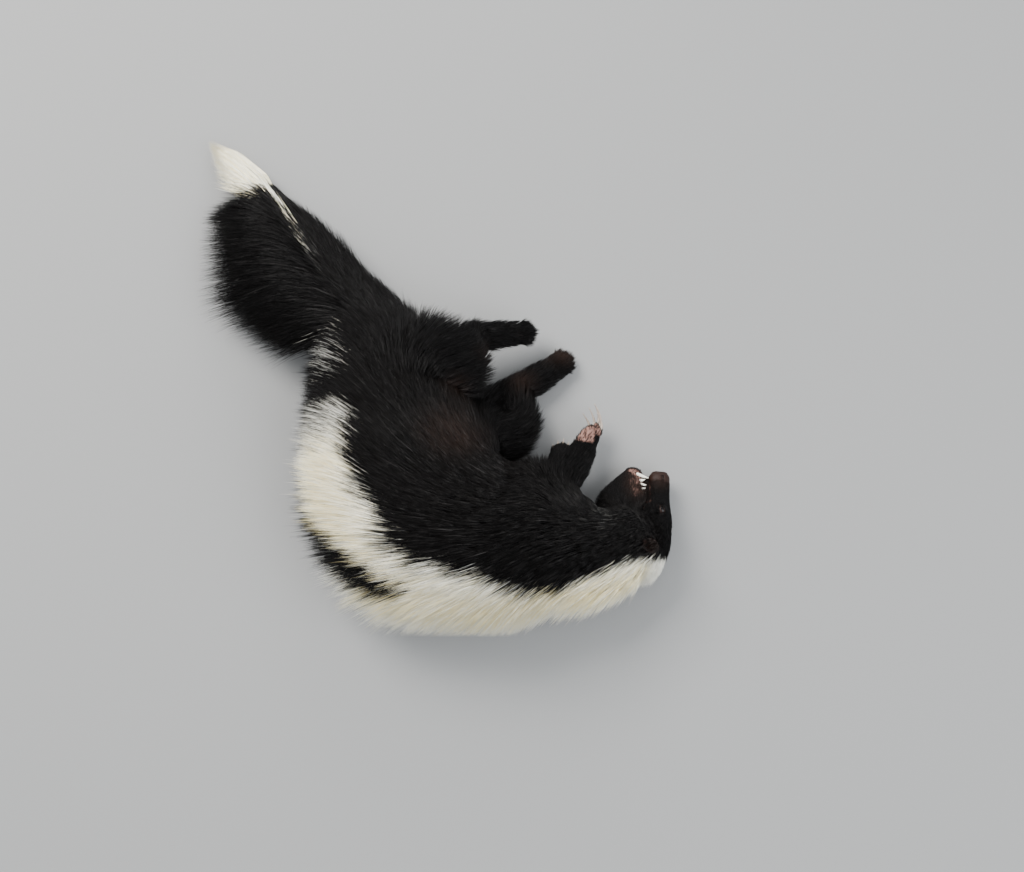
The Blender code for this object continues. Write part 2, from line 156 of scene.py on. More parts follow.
MOUTH = [            # what closes the mouth between the two rows of teeth
    ((192.2, -121, 20, 6.0, 6.0, 6.5, 9), (0, 0, 0, 0)),
    ((192.8, -110, 18.5, 4.6, 4.6, 5.0, 8), (0, 0, 0, 0)),
    ((193.0, -100, 17.0, 3.8, 3.8, 3.4, 6), (0, 0, 0, 0)),
]
TAIL_BONE = [        # the tail under its hair; nothing to take off
    ((-38, 16, 42, 26, 32, 23, 28), (0, 0, 0, 0)),
    ((-54, 38, 38, 16, 18, 14, 17), (0, 0, 0, 0)),
    ((-77, 66, 33, 10, 10.5, 9.5, 10), (0, 0, 0, 0)),
    ((-101, 98, 28, 8, 8, 7.6, 8), (0, 0, 0, 0)),
    ((-127, 136, 23, 6.2, 6.2, 5.8, 6), (0, 0, 0, 0)),
    ((-146, 162, 19, 4.6, 4.6, 4.4, 4.4), (0, 0, 0, 0)),
    ((-157, 176, 16.5, 3.4, 3.4, 3.2, 3.2), (0, 0, 0, 0)),
]
TAIL_FAN = [         # the outline of the tail's hair, the same as the solids'
    (-44, 6, 42, 50, 44, 36, 44), (-73, 38, 37, 50, 62, 32, 39), (-98, 66, 32, 48, 67, 29, 34),
    (-123, 97, 28, 50, 70, 26, 30), (-146, 130, 24, 40, 56, 23, 26), (-167, 163, 18, 22, 38, 17, 20),
    (-188, 196, 11.5, 17, 19, 11, 13), (-202, 217, 7.0, 11, 11, 6.5, 8.5), (-206.5, 224, 5.5, 8, 8, 5, 6),
]
LEG_HIND_LEFT = [
    ((-30, -22, 56, 44, 46, 38, 36), (12, 12, 12, 12)),
    ((-8, -14, 57, 40, 50, 33, 36), (10, 10, 7, 8)),
    ((16, -14, 57, 30, 46, 26, 32), (8, 9, 5, 7)),
    ((33, -12, 55, 20, 38, 19, 26), (5, 8, 4, 5)),
]
SHANK_HIND_LEFT = [
    ((22, -26, 58, 20, 17, 19, 20), (5, 5, 5, 5)),
    ((30, -8, 55, 20, 18, 17, 18), (5, 5, 4, 4)),
    ((35, 8, 50, 16, 18, 14, 15), (4, 5, 3, 3)),
    ((36, 22, 45, 10.5, 13, 10.5, 11), (2.5, 3.5, 2.5, 2.5)),
]
FOOT_HIND_LEFT = [
    ((27, 24, 44, 20, 9.5, 11, 13), (7, 3, 3.0, 4)),
    ((42, 25, 42, 17, 10.5, 10, 11), (7, 3, 2.6, 3)),
    ((58, 27, 36.5, 12, 10.5, 8.8, 8.8), (3.6, 2.6, 1.8, 1.8)),
    ((74, 30, 30.5, 9.8, 9.8, 7.4, 7.2), (1.6, 1.6, 1.4, 1.2)),
    ((84, 31.5, 27.5, 8.4, 8.4, 6.0, 6.0), (1.2, 1.2, 1, 1)),
]
LEG_HIND_RIGHT = [
    ((6, -62, 27, 30, 34, 24, 30), (8, 8, 8, 6)),
    ((40, -66, 25, 27, 30, 22, 28), (7, 7, 6, 6)),
    ((68, -62, 22, 22, 24, 19, 25), (6, 5, 4, 6)),
    ((80, -50, 19, 17, 20, 16.5, 22), (4.5, 4, 3.2, 5)),
    ((79, -34, 17, 15.5, 17, 14.5, 20), (4, 3.5, 3, 5)),
    ((77, -22, 15.5, 14, 13, 12.5, 17), (3, 3, 2.5, 4)),
]
FOOT_HIND_RIGHT = [
    ((44, -40, 20, 14, 13, 14, 19), (4, 4, 4, 5)),
    ((60, -29, 17, 13, 12.5, 12, 16), (3.5, 3.5, 3, 3.5)),
    ((82, -17, 14.5, 12.5, 12, 10.5, 14), (2.5, 2, 1.8, 2.5)),
    ((98, -7, 13, 12, 11.5, 9.5, 13), (2.2, 1.8, 1.5, 2.2)),
    ((111, 2, 11, 10.5, 10, 8, 11.5), (1.6, 1.4, 1.2, 1.6)),
    ((119, 7.5, 10, 8.6, 8.6, 6.6, 10.5), (1.2, 1.2, 1, 1.4)),
]
LEG_FORE_LEFT = [
    ((110, -140, 60, 30, 34, 27, 34), (8, 8, 7, 8)),
    ((108, -120, 54, 30, 30, 24, 30), (8, 8, 6, 7)),
    ((116, -104, 46, 22, 19, 18, 22), (5, 5, 4, 5)),
    ((128, -89, 36, 15, 14.5, 13.5, 14.5), (3.5, 3.5, 3, 3)),
    ((137, -76, 28, 11, 11.5, 10, 10.5), (2, 2, 1.8, 1.8)),
]
PAW_FORE_LEFT = [
    ((134, -81, 30, 9.4, 9.8, 9.4, 9.6), (1.8, 1.8, 1.6, 1.6)),
    ((140, -70, 25, 8.8, 11.0, 9.4, 9.6), (1.2, 0.8, 0.8, 0.8)),
    ((144.8, -61, 20.4, 7.8, 10.8, 9.0, 9.0), (0.8, 1.4, 0.6, 0.6)),
    ((147.4, -56, 18.6, 6.8, 8.4, 7.6, 7.6), (0.6, 1.0, 0.5, 0.5)),
]
LEG_FORE_RIGHT = [
    ((112, -132, 24, 24, 26, 20, 28), (6, 6, 6, 6)),
    ((104, -106, 19, 20, 20, 16.5, 23), (5, 5, 4, 6)),
    ((111, -96, 15, 14, 13.5, 12.5, 18), (3.5, 3.5, 3, 4)),
    ((117, -87, 12.5, 11, 11, 9.5, 14.5), (2, 2, 1.8, 3)),
]
PAW_FORE_RIGHT = [
    ((115, -91, 13, 10, 10, 9, 14), (1.8, 1.8, 1.6, 2)),
    ((118, -83, 11, 10.8, 10.8, 8, 12), (1.0, 1.0, 0.8, 1.2)),
    ((120, -75, 9.5, 10.2, 10.2, 6.6, 10.2), (0.6, 0.6, 0.6, 0.8)),
    ((120.5, -71, 8.8, 8.8, 8.8, 5.4, 9.2), (0.5, 0.5, 0.5, 0.6)),
]
SKIN_FLOOR = 2.2     # the pressed coat under the body keeps the skin this high


def flesh(rows):
    out = []
    for size, coat in rows:
        r = np.array(size, float)
        r[:3] += CENTRE
        r[3:] -= coat
        out.append(r)
    return np.array(out)


def spline(p, steps):
    p = np.vstack([2 * p[0] - p[1], p, 2 * p[-1] - p[-2]])
    out = []
    for i in range(1, len(p) - 2):
        a, b, c, d = p[i - 1], p[i], p[i + 1], p[i + 2]
        for k in range(steps):
            t = k / steps
            out.append(0.5 * (2 * b + (c - a) * t + (2 * a - 5 * b + 4 * c - d) * t * t
                              + (3 * b - a - 3 * c + d) * t ** 3))
    out.append(p[-2])
    return np.array(out)


class Chain:
    """A row of sections with its frames: tangent, left and up."""

    def __init__(self, rows, steps=8):
        self.s = spline(rows, steps)
        self.c = self.s[:, :3]
        self.t = unit(np.gradient(self.c, axis=0))
        left = np.cross([0, 0, 1.0], self.t)
        self.l = unit(left)
        self.u = np.cross(self.t, self.l)
        step = np.linalg.norm(np.diff(self.c, axis=0), axis=1)
        self.len = np.concatenate([[0], np.cumsum(step)])

    def where(self, p):
        """Nearest station, scaled distance, arc length, and the section angle:
        0 on the right-hand side, 90 on top, 180 on the left, -90 below."""
        best = np.full(len(p), 1e9)
        idx = np.zeros(len(p), int)
        size = self.s[:, 3:].mean(1)
        for i in range(len(self.c)):
            d = ((p - self.c[i]) ** 2).sum(1)
            # distance along the tangent counts double, so feet stay in plane
            a = (p - self.c[i]) @ self.t[i]
            d = np.sqrt(d + 3 * a * a) / size[i]
            m = d < best
            best[m] = d[m]
            idx[m] = i
        q = p - self.c[idx]
        w = (q * self.l[idx]).sum(1)
        h = (q * self.u[idx]).sum(1)
        a = (q * self.t[idx]).sum(1)
        s = self.s[idx]
        wn = np.where(w > 0, w / s[:, 4], w / s[:, 3])
        hn = np.where(h > 0, h / s[:, 5], h / s[:, 6])
        ang = np.degrees(np.arctan2(hn, -wn))
        return idx, best, self.len[idx] + a, ang


def loft(rows, steps=6, sides=40, tip=None, root=None, power=2.2, droop=0.0,
         caps=(0.3, 0.6, 0.85, 0.98), origin=None, shape=None):
    """A closed tapering form through the rows, with rounded ends."""
    s = spline(np.array(rows, float), steps)
    if tip is None:
        tip = 0.45 * min(s[-1, 3:5])
    if root is None:
        root = 0.45 * min(s[0, 3:5])
    centre = s[:, :3]
    tangent = unit(np.gradient(centre, axis=0))
    rings = []
    for end, reach, order in ((0, root, caps[::-1]), (-1, tip, caps)):
        group = []
        for q in order:
            row = s[end].copy()
            row[:3] += tangent[end] * reach * q * (1 if end else -1)
            row[3:7] *= math.sqrt(1 - q * q)
            group.append((row, tangent[end]))
        rings.append(group)
    body = [(s[i], tangent[i]) for i in range(len(s))]
    bm = bmesh.new()
    loops = []
    for row, t in rings[0] + body + rings[1]:
        left = np.cross((0, 0, 1.0), t)
        left /= np.linalg.norm(left)
        up = np.cross(t, left)
        loop = []
        for j in range(sides):
            a = 2 * math.pi * j / sides
            cx = math.copysign(abs(math.cos(a)) ** (2 / power), math.cos(a))
            cy = math.copysign(abs(math.sin(a)) ** (2 / power), math.sin(a))
            w = cx * (row[4] if cx > 0 else row[3])
            h = cy * (row[5] if cy > 0 else row[6])
            pos = row[:3] + left * w + up * h
            if droop and cx < 0:
                pos[2] -= droop * cx * cx * (row[3] / 100.0)
            loop.append(bm.verts.new(pos))
        loops.append(loop)
    for a, b in zip(loops, loops[1:]):
        for j in range(sides):
            k = (j + 1) % sides
            bm.faces.new((a[j], a[k], b[k], b[j]))
    for loop, reach, end, flip in ((loops[0], root, 0, True), (loops[-1], tip, -1, False)):
        pole = bm.verts.new(s[end, :3] + tangent[end] * reach * (1 if end else -1))
        for j in range(sides):
            k = (j + 1) % sides
            bm.faces.new((pole, loop[k], loop[j]) if flip else (loop[j], loop[k], pole))
    bmesh.ops.recalc_face_normals(bm, faces=bm.faces)
    return bm


def to_object(bm, name):
    mesh = bpy.data.meshes.new(name)
    bm.to_mesh(mesh)
    bm.free()
    ob = bpy.data.objects.new(name, mesh)
    bpy.context.scene.collection.objects.link(ob)
    return ob


def apply_modifiers(ob):
    mesh = bpy.data.meshes.new_from_object(
        ob.evaluated_get(bpy.context.evaluated_depsgraph_get()))
    ob.modifiers.clear()
    old = ob.data
    ob.data = mesh
    bpy.data.meshes.remove(old)
    return ob


def mesh_arrays(mesh):
    v = np.empty(len(mesh.vertices) * 3, np.float32)
    mesh.vertices.foreach_get('co', v)
    n = np.empty(len(mesh.vertices) * 3, np.float32)
    mesh.vertex_normals.foreach_get('vector', n)
    mesh.calc_loop_triangles()
    t = np.empty(len(mesh.loop_triangles) * 3, np.int32)
    mesh.loop_triangles.foreach_get('vertices', t)
    return v.reshape(-1, 3).astype(float), n.reshape(-1, 3).astype(float), t.reshape(-1, 3)


def toe_rows(root, along, across, up, count, spec, spread, size=1.0):
    """Toes and claws of one paw: rows for each, in the same layout as the solids."""
    root = np.array(root, float) + CENTRE
    along, across, up = unit(along), unit(across), unit(up)
    toes, claws = [], []
    for i in range(count):
        f = (i / (count - 1)) * 2 - 1
        short = 1.0 - 0.28 * abs(f) ** 1.5
        way = unit(along + across * f * 0.22)
        at = root + across * f * spread - along * abs(f) * 2.4
        length, r = spec['length'] * short * size, spec['radius'] * size * (1 - 0.1 * abs(f))
        rows = []
        for q, w, lift in ((-0.6, 0.86, -0.2), (-0.1, 0.92, 0.2), (0.25, 0.8, 0.7), (0.5, 0.97, 1.0),
                           (0.74, 0.84, 0.4), (1.0, 0.74, -0.4)):
            c = at + way * length * q + up * lift * size
            rows.append((*c, r * w, r * w, r * w, r * w))
        toes.append(rows)
        tip = at + way * (length + r * 0.1)
        rows = []
        for q in (-0.12, 0.1, 0.32, 0.55, 0.78, 1.0):
            c = (tip + way * spec['claw'] * short * size * q
                 - up * spec['curl'] * q * abs(q) * size + up * 0.4)
            w = spec['claw_radius'] * size * (1 - 0.78 * max(q, 0) ** 1.2)
            rows.append((*c, w * 0.85, w * 0.85, w * 1.15, w * 1.15))
        claws.append(rows)
    return toes, claws


TOE_FORE_LOW = dict(length=8.5, radius=3.0, claw=7.5, claw_radius=1.15, curl=3.2)
TOE_FORE_UP = dict(length=9.5, radius=3.1, claw=15.5, claw_radius=1.75, curl=12.5)
TOE_HIND = dict(length=9.0, radius=2.8, claw=6.5, claw_radius=0.95, curl=2.2)
PAWS = {
    'fore_left': ((146.2, -58.5, 19.0), (0.44, 0.86, -0.15), (-0.545, 0.134, -0.828), (0.75, -0.35, -0.55), TOE_FORE_UP, 6.6, 1.0),
    'fore_right': ((119.6, -74.5, 8.6), (0.12, 0.99, -0.12), (0.99, -0.12, 0.0), (0, 0.12, 0.99), TOE_FORE_LOW, 6.8, 0.95),
    'hind_left': ((83, 31, 28.0), (0.94, 0.12, -0.3), (-0.12, 0.99, 0.0), (0.3, 0, 0.95), TOE_HIND, 6.0, 1.0),
    'hind_right': ((118, 7, 9.5), (0.82, 0.56, -0.12), (-0.56, 0.82, 0.0), (0.1, 0.07, 0.99), TOE_HIND, 6.6, 1.0),
}
EYE_RADIUS = 4.0
EYE_LEFT = np.array((203.4, -128.6, 37.9)) + CENTRE
EYE_RIGHT = np.array((203.6, -128.6, 8.6)) + CENTRE
# centre of the bowl's floor, half-sizes (across, along), depth, and turns about Z, Y, X
EARS = {'ear_left': ((190.8, -161.4, 57.4), (6.6, 7.4), 6.0, (0, 18, -14)),
        'ear_right': ((204.5, -163.0, 8.6), (6.2, 7.0), 3.2, (8, 196, 0))}
VOXEL = 0.9


# pads on the palm of the left forepaw, which is turned to the camera
PALM_PADS = [((139.6, -58.2, 24.5), 3.6), ((135.8, -64.5, 27.0), 3.9), ((141.0, -66.0, 30.5), 3.4),
             ((143.4, -56.6, 27.6), 3.2), ((137.6, -71.0, 32.0), 3.0)]
PALM = np.array((139.5, -61.0, 28.0)) + CENTRE
PALM_WAY = unit((-0.62, 0.30, 0.72))
DIGITS = np.array((150.5, -52.5, 20.0)) + CENTRE


def turned(yaw, pitch, roll):
    return (Matrix.Rotation(math.radians(yaw), 4, 'Z') @ Matrix.Rotation(math.radians(pitch), 4, 'Y')
            @ Matrix.Rotation(math.radians(roll), 4, 'X'))


def ear_bowl(at, half, deep, turns, thick=1.7):
    """A low round ear: a bowl whose rim is high behind and runs out in front."""
    bm = bmesh.new()
    rings, sides = 9, 40
    sheets = []
    for under in (0, 1):
        sheet = []
        for i in range(rings + 1):
            q = i / rings
            loop = []
            for j in range(sides):
                a = 2 * math.pi * j / sides
                # +y is the side of the face, where the rim is low
                rim = deep * (0.34 + 0.66 * (0.5 - 0.5 * math.sin(a)) ** 0.8)
                z = rim * q ** 2.4 + 0.5 * math.cos(a * 2 + 1.0) * q * (1 - q)
                r = q * (1 + (0.10 if under else 0.0))
                loop.append(bm.verts.new((half[0] * r * math.cos(a), half[1] * r * math.sin(a),
                                          z - under * (thick + 3.0 * (1 - q)))))
            sheet.append(loop)
        sheets.append(sheet)
    for k, sheet in enumerate(sheets):
        for a, b in zip(sheet, sheet[1:]):
            for j in range(sides):
                m = (j + 1) % sides
                f = (a[j], b[j], b[m], a[m])
                bm.faces.new(f if k == 0 else f[::-1])
    a, b = sheets[0][-1], sheets[1][-1]
    for j in range(sides):
        m = (j + 1) % sides
        bm.faces.new((a[j], b[j], b[m], a[m]))
    bmesh.ops.remove_doubles(bm, verts=bm.verts, dist=1e-4)
    bmesh.ops.recalc_face_normals(bm, faces=bm.faces)
    bmesh.ops.transform(bm, verts=bm.verts, matrix=Matrix.Translation(Vector(np.array(at) + CENTRE)) @ turned(*turns))
    return bm


EYE_WAY = {'left': unit((0.22, 0.16, 0.96)), 'right': unit((0.22, 0.16, -0.96))}


def shape_face(v):
    """Eye sockets with half-closed lids and the slit between them."""
    v = v.copy()
    for eye, way in ((EYE_LEFT, EYE_WAY['left']), (EYE_RIGHT, EYE_WAY['right'])):
        along = unit(np.array([-0.16, 1.0, 0.0]) - way * ((-0.16) * way[0] + way[1]))
        across = np.cross(way, along)
        d = v - eye
        r = np.linalg.norm(d, axis=1)
        near = r < 11
        q = d[near]
        rr = r[near]
        u = q / rr[:, None]
        a, b = (u @ along) * EYE_RADIUS, (u @ across) * EYE_RADIUS
        face = u @ way
        slit = 1.0 * (1 - (np.abs(a) / 3.2) ** 2.2) + 0.06
        opening = (np.abs(b + 0.25 - 0.10 * a) < np.maximum(slit, 0)) & (np.abs(a) < 3.2) & (face > 0.2)
        edge = np.exp(-((np.abs(b + 0.25 - 0.10 * a) - np.maximum(slit, 0)).clip(0, 9) / 0.8) ** 2)
        lid = EYE_RADIUS + 0.30 + 0.35 * edge
        front = smooth01(face, 0.0, 0.5)
        # a shallow hollow round the eye, the lids over the ball, and the slit between them
        hollow = 0.9 * np.exp(-((rr - 7.4) / 1.8) ** 2) * front
        new = np.where(rr < lid + 1.6, lid + 0.35 * (rr - lid).clip(0, 9) * 1.0, rr)
        new = rr + (np.maximum(new, np.where(rr < lid, lid, new)) - rr) * front
        new = new - hollow
        new = np.where(opening, np.minimum(rr, EYE_RADIUS - 1.1), new)
        v[near] = eye + u * new[:, None]
    m = mouth_gap(v)
    return v


def mouth_gap(v):
    """Distance to the line of the mouth on the upper side of the face, in mm."""
    x = v[:, 0] - (193.3 + CENTRE[0])
    y = v[:, 1] - CENTRE[1]
    beyond = np.maximum(-118.5 - y, 0)
    return np.sqrt(x * x + (beyond * 1.6) ** 2)


# ------------------------------------------------------------------ the skin
def make_skin():
    forms = []
    for rows, kw in ((TRUNK, dict(droop=8)), (NECK, {}), (HEAD, dict(tip=2.4)), (JAW, dict(tip=3.0)), (MOUTH, {}),
                     (TAIL_BONE, dict(tip=2.5)), (LEG_HIND_LEFT, {}), (SHANK_HIND_LEFT, {}),
                     (FOOT_HIND_LEFT, {}), (LEG_HIND_RIGHT, {}), (FOOT_HIND_RIGHT, {}),
                     (LEG_FORE_LEFT, {}), (PAW_FORE_LEFT, {}), (LEG_FORE_RIGHT, {}), (PAW_FORE_RIGHT, {})):
        forms.append(loft(flesh(rows), **kw))
    claws = {}
    for paw, (root, along, across, up, spec, spread, size) in PAWS.items():
        toes, claws[paw] = toe_rows(root, along, across, up, 5, spec, spread, size)
        for rows in toes:
            forms.append(loft(rows, steps=3, sides=16, tip=1.6, root=0.5, power=2.0, caps=(0.5, 0.85)))
    for at, half, deep, turns in EARS.values():
        forms.append(ear_bowl(at, half, deep, turns))
    for at, radius in PALM_PADS:
        bm = bmesh.new()
        bmesh.ops.create_icosphere(bm, subdivisions=3, radius=radius)
        bmesh.ops.translate(bm, verts=bm.verts, vec=Vector(np.array(at) + CENTRE))
        forms.append(bm)
    mesh = bpy.data.meshes.new('skin')
    bm = bmesh.new()
    for f in forms:
        f.to_mesh(mesh)
        f.free()
        bm.from_mesh(mesh)
    ob = to_object(bm, 'skin')
    mod = ob.modifiers.new('fuse', 'REMESH')
    mod.mode = 'VOXEL'
    mod.voxel_size = VOXEL
    mod = ob.modifiers.new('soften', 'SMOOTH')
    mod.factor = 0.5
    mod.iterations = 4
    apply_modifiers(ob)
    # the pressed side is flat: nothing of the skin is lower than the coat under it
    v, n, t = mesh_arrays(ob.data)
    low = v[:, 2] < SKIN_FLOOR + 3
    v[low, 2] = SKIN_FLOOR + 3 * np.exp((v[low, 2] - SKIN_FLOOR - 3) / 3) * 1.0
    ob.data.vertices.foreach_set('co', v.astype(np.float32).ravel())
    # finer faces round the eyes, then the lids
    bm = bmesh.new()
    bm.from_mesh(ob.data)
    spots = [Vector(EYE_LEFT), Vector(EYE_RIGHT)]
    for reach in (10.0, 7.0):
        pick = [e for e in bm.edges
                if min((e.verts[0].co - c).length for c in spots) < reach]
        bmesh.ops.subdivide_edges(bm, edges=pick, cuts=1, use_grid_fill=True)
    bmesh.ops.triangulate(bm, faces=[f for f in bm.faces if len(f.verts) > 4])
    bm.to_mesh(ob.data)
    bm.free()
    v, n, t = mesh_arrays(ob.data)
    v = shape_face(v)
    ob.data.vertices.foreach_set('co', v.astype(np.float32).ravel())
    # fewer faces where fur hides them, all of them on the head and the paws
    group = ob.vertex_groups.new(name='thin')
    head = smooth01(np.linalg.norm((v - [201, -128, 25]) * [1, 1, 1], axis=1), 52, 70)
    paws = np.ones(len(v))
    for root, *_ in PAWS.values():
        paws = np.minimum(paws, smooth01(np.linalg.norm(v - np.array(root) - CENTRE, axis=1), 20, 30))
    w = head * paws
    for level in (0.34, 0.67, 1.0):
        pick = np.nonzero((w > level - 0.33) & (w <= level + 0.001))[0]
        group.add([int(i) for i in pick], level, 'REPLACE')
    mod = ob.modifiers.new('thin', 'DECIMATE')
    mod.vertex_group = 'thin'
    mod.vertex_group_factor = 1.0
    count = sum(len(p.vertices) - 2 for p in ob.data.polygons)
    mod.ratio = min(1.0, 165000 / count)
    apply_modifiers(ob)
    ob.vertex_groups.clear()
    print('skin triangles', sum(len(p.vertices) - 2 for p in ob.data.polygons))
    return ob, claws


# --------------------------------------------------- where a point is on it
SPINE_ROWS = [
    (-48, 12, 42, 44, 50, 34, 46), (-37, -22, 45, 64, 60, 46, 49), (-23, -62, 46, 86, 78, 51, 50),
    (-7, -104, 46, 106, 84, 47, 50), (20, -138, 47, 111, 80, 51, 51), (62, -159, 47, 80, 76, 54, 51),
    (104, -160, 46, 66, 76, 51, 50), (138, -161, 42, 52, 46, 42, 45), (160, -158, 38, 48, 38, 36, 39),
    (178, -152, 33, 36, 32, 30, 33), (192, -146, 29, 28, 30, 26, 29), (198.4, -137, 26, 18, 30, 23, 25),
    (201.5, -124.7, 22.5, 13.4, 17, 16.5, 18), (203.7, -108.8, 19.5, 9.6, 8.8, 10.6, 10.6),
    (205.6, -96, 17.2, 7.2, 7, 7.4, 7.4)]
SPINE_SKIN_SCALE = 0.8


def moved(rows):
    r = np.array(rows, float)
    r[:, :3] += CENTRE
    return r


SPINE = Chain(moved(SPINE_ROWS))
PARTS = {
    'spine': SPINE,
    'tail': Chain(flesh(TAIL_BONE)),
    'jaw': Chain(flesh(JAW)),
    'leg_hl': Chain(flesh(LEG_HIND_LEFT)), 'shank_hl': Chain(flesh(SHANK_HIND_LEFT)),
    'foot_hl': Chain(flesh(FOOT_HIND_LEFT)), 'leg_hr': Chain(flesh(LEG_HIND_RIGHT)),
    'foot_hr': Chain(flesh(FOOT_HIND_RIGHT)), 'leg_fl': Chain(flesh(LEG_FORE_LEFT)),
    'paw_fl': Chain(flesh(PAW_FORE_LEFT)), 'leg_fr': Chain(flesh(LEG_FORE_RIGHT)),
    'paw_fr': Chain(flesh(PAW_FORE_RIGHT))}
NAMES = list(PARTS)
NOSE_END = SPINE.len[-1]


def locate(p):
    """For each point: the parts' weights, and its station and angle on each."""
    found = {}
    dist = np.empty((len(NAMES), len(p)))
    for k, name in enumerate(NAMES):
        idx, d, s, ang = PARTS[name].where(p)
        if name == 'spine':
            d = d / SPINE_SKIN_SCALE
        dist[k] = d
        found[name] = (idx, s, ang)
    w = np.exp(-(dist - dist.min(0)) * 7.0)
    w /= w.sum(0)
    return w, found


# The markings, by the station along the spine (0 the rump, about 400 the nose)
# and the angle round the body (0 the edge of the back, 90 the upper flank).
S_INNER = [(30, 18), (46, 72), (60, 71), (75, 63), (91, 60), (107, 62), (119, 64), (136, 66), (158, 61), (186, 66),
           (208, 65), (223, 60), (240, 53), (269, 46), (285, 55), (298, 63), (312, 65), (324, 64), (331, 80),
           (338, 110), (360, 120)]
S_OUTER = [(20, 40), (36, 12), (47, -4), (91, -3), (104, 4), (119, 17), (134, 35), (147, 42), (161, 45), (176, 47)]
S_WEDGE = [(20, -34), (108, -28), (119, -24), (134, -8), (147, 9), (161, 24), (170, 36), (176, 45)]
S_UNDER = [(20, -60), (176, -64), (260, -50), (352, -40)]


def curve(points, x):
    xs, ys = zip(*points)
    return np.interp(x, xs, ys)


def stripe_mark(s, ang, ragged=0.0):
    """How white the coat is at this station and angle, 0 to 1."""
    soft = 5.0
    inner = curve(S_INNER, s) + ragged * 6
    outer = curve(S_OUTER, s) + ragged * 4
    wedge = curve(S_WEDGE, s) + ragged * 4
    under = curve(S_UNDER, s)
    left = smooth01(inner - ang, -soft, soft) * smooth01(ang - outer, -soft, soft)
    right = smooth01(wedge - ang, -soft, soft) * smooth01(ang - under, -soft * 2, soft * 2)
    merged = smooth01(inner - ang, -soft, soft) * smooth01(ang - under, -soft * 2, soft * 2)
    both = np.maximum(left, right)
    mark = np.where(s > 176, merged, both)
    mark *= 0.45 * smooth01(s, 26 + ragged * 8, 46) + 0.55 * smooth01(s, 44 + ragged * 8, 84)
    mark *= 1 - smooth01(s, 352, 356)
    return mark


TAIL_END = PARTS['tail'].len[-1]


def region_values(p, n, w, found):
    """Flow, length and lift of the coat at each skin point."""
    N = len(p)
    flow = np.zeros((N, 3))
    length = np.zeros(N)
    lift = np.zeros(N)
    for k, name in enumerate(NAMES):
        part = PARTS[name]
        idx, s, ang = found[name]
        T, L, U = part.t[idx], part.l[idx], part.u[idx]
        if name == 'spine':
            a = np.abs(ang)
            beta = np.interp(a, [0, 30, 60, 90, 130, 180], [66, 57, 44, 26, 8, -4])
            calm = 1 - 0.72 * smooth01(s, 262, 345)
            beta = np.radians(beta * (0.18 + 0.82 * calm))
            beta = beta * (1 - 0.30 * smooth01(s, 175, 260))
            beta = np.where(s < 60, beta + np.radians(12) * (1 - s / 60), beta)
            f = -T * np.cos(beta)[:, None] - L * np.sin(beta)[:, None]
            top = np.interp(s, [0, 40, 123, 200, 256, 300, 331, 347, 358, 371, 387, 400],
                            [30, 32, 32, 28, 24, 17, 10.5, 7.5, 5.5, 4.0, 2.6, 1.8])
            back = np.interp(s, [0, 40, 90, 123, 170, 214, 256, 300, 331, 345, 352, 371, 387, 400],
                             [26, 30, 36, 41, 44, 38, 31, 27, 23, 16, 9.5, 4.2, 2.6, 1.8])
            belly = top * 0.62
            ln = np.interp(a, [0, 35, 90], [0, 0, 1])
            ln = back + (top - back) * ln
            m = a > 90
            ln = np.where(m, top + (belly - top) * (a - 90) / 90, ln)
            ln = np.where(ang < -20, ln * 0.7, ln)
            lf = np.interp(s, [0, 290, 335], [0.30, 0.30, 0.14])
            lf = lf + 0.24 * np.exp(-(ang / 42) ** 2) * smooth01(s, 262, 300) * (1 - smooth01(s, 344, 354))
        elif name == 'tail':
            side = -np.cos(np.radians(ang))             # -1 right, 1 left
            h = np.sin(np.radians(ang))
            out = L * side[:, None] * 1.0 + U * h[:, None] * 0.34
            flare = np.interp(s, [0, 40, 120, TAIL_END - 20, TAIL_END], [0.85, 0.85, 0.62, 0.34, 0.12])
            f = T + out * flare[:, None]
            ln = np.interp(s, [0, 30, 80, TAIL_END - 30, TAIL_END], [38, 50, 62, 60, 56])
            lf = np.full(N, 0.24)
        elif name == 'jaw':
            f = -T
            ln = np.interp(s, [0, 10, 25, 45], [1.6, 2.6, 5, 10])
            lf = np.full(N, 0.24)
        else:
            f = T.copy()
            tip = part.len[-1]
            q = s / tip
            ends = {'leg_hl': (26, 19), 'shank_hl': (19, 15), 'foot_hl': (17, 7.5), 'leg_hr': (20, 17), 'foot_hr': (17, 7.0),
                    'leg_fl': (20, 7), 'paw_fl': (5.5, 2.4), 'leg_fr': (15, 7), 'paw_fr': (5.5, 2.4)}[name]
            ln = ends[0] + (ends[1] - ends[0]) * np.clip(q, 0, 1.1)
            lf = np.full(N, 0.30)
            if name in ('shank_hl', 'foot_hl', 'foot_hr'):
                lf = np.full(N, 0.46) - 0.14 * np.clip(q, 0, 1)
            if name == 'leg_hl':
                f = f * 0.75 + np.array([-0.45, 0.55, 0]) * (1 - np.clip(q, 0, 1))[:, None]
        flow += f * w[k][:, None]
        length += ln * w[k]
        lift += lf * w[k]
    flow = unit(flow)
    inward = np.minimum((flow * n).sum(1), 0)
    flow = unit(flow - n * inward[:, None])
    return flow, length, lift


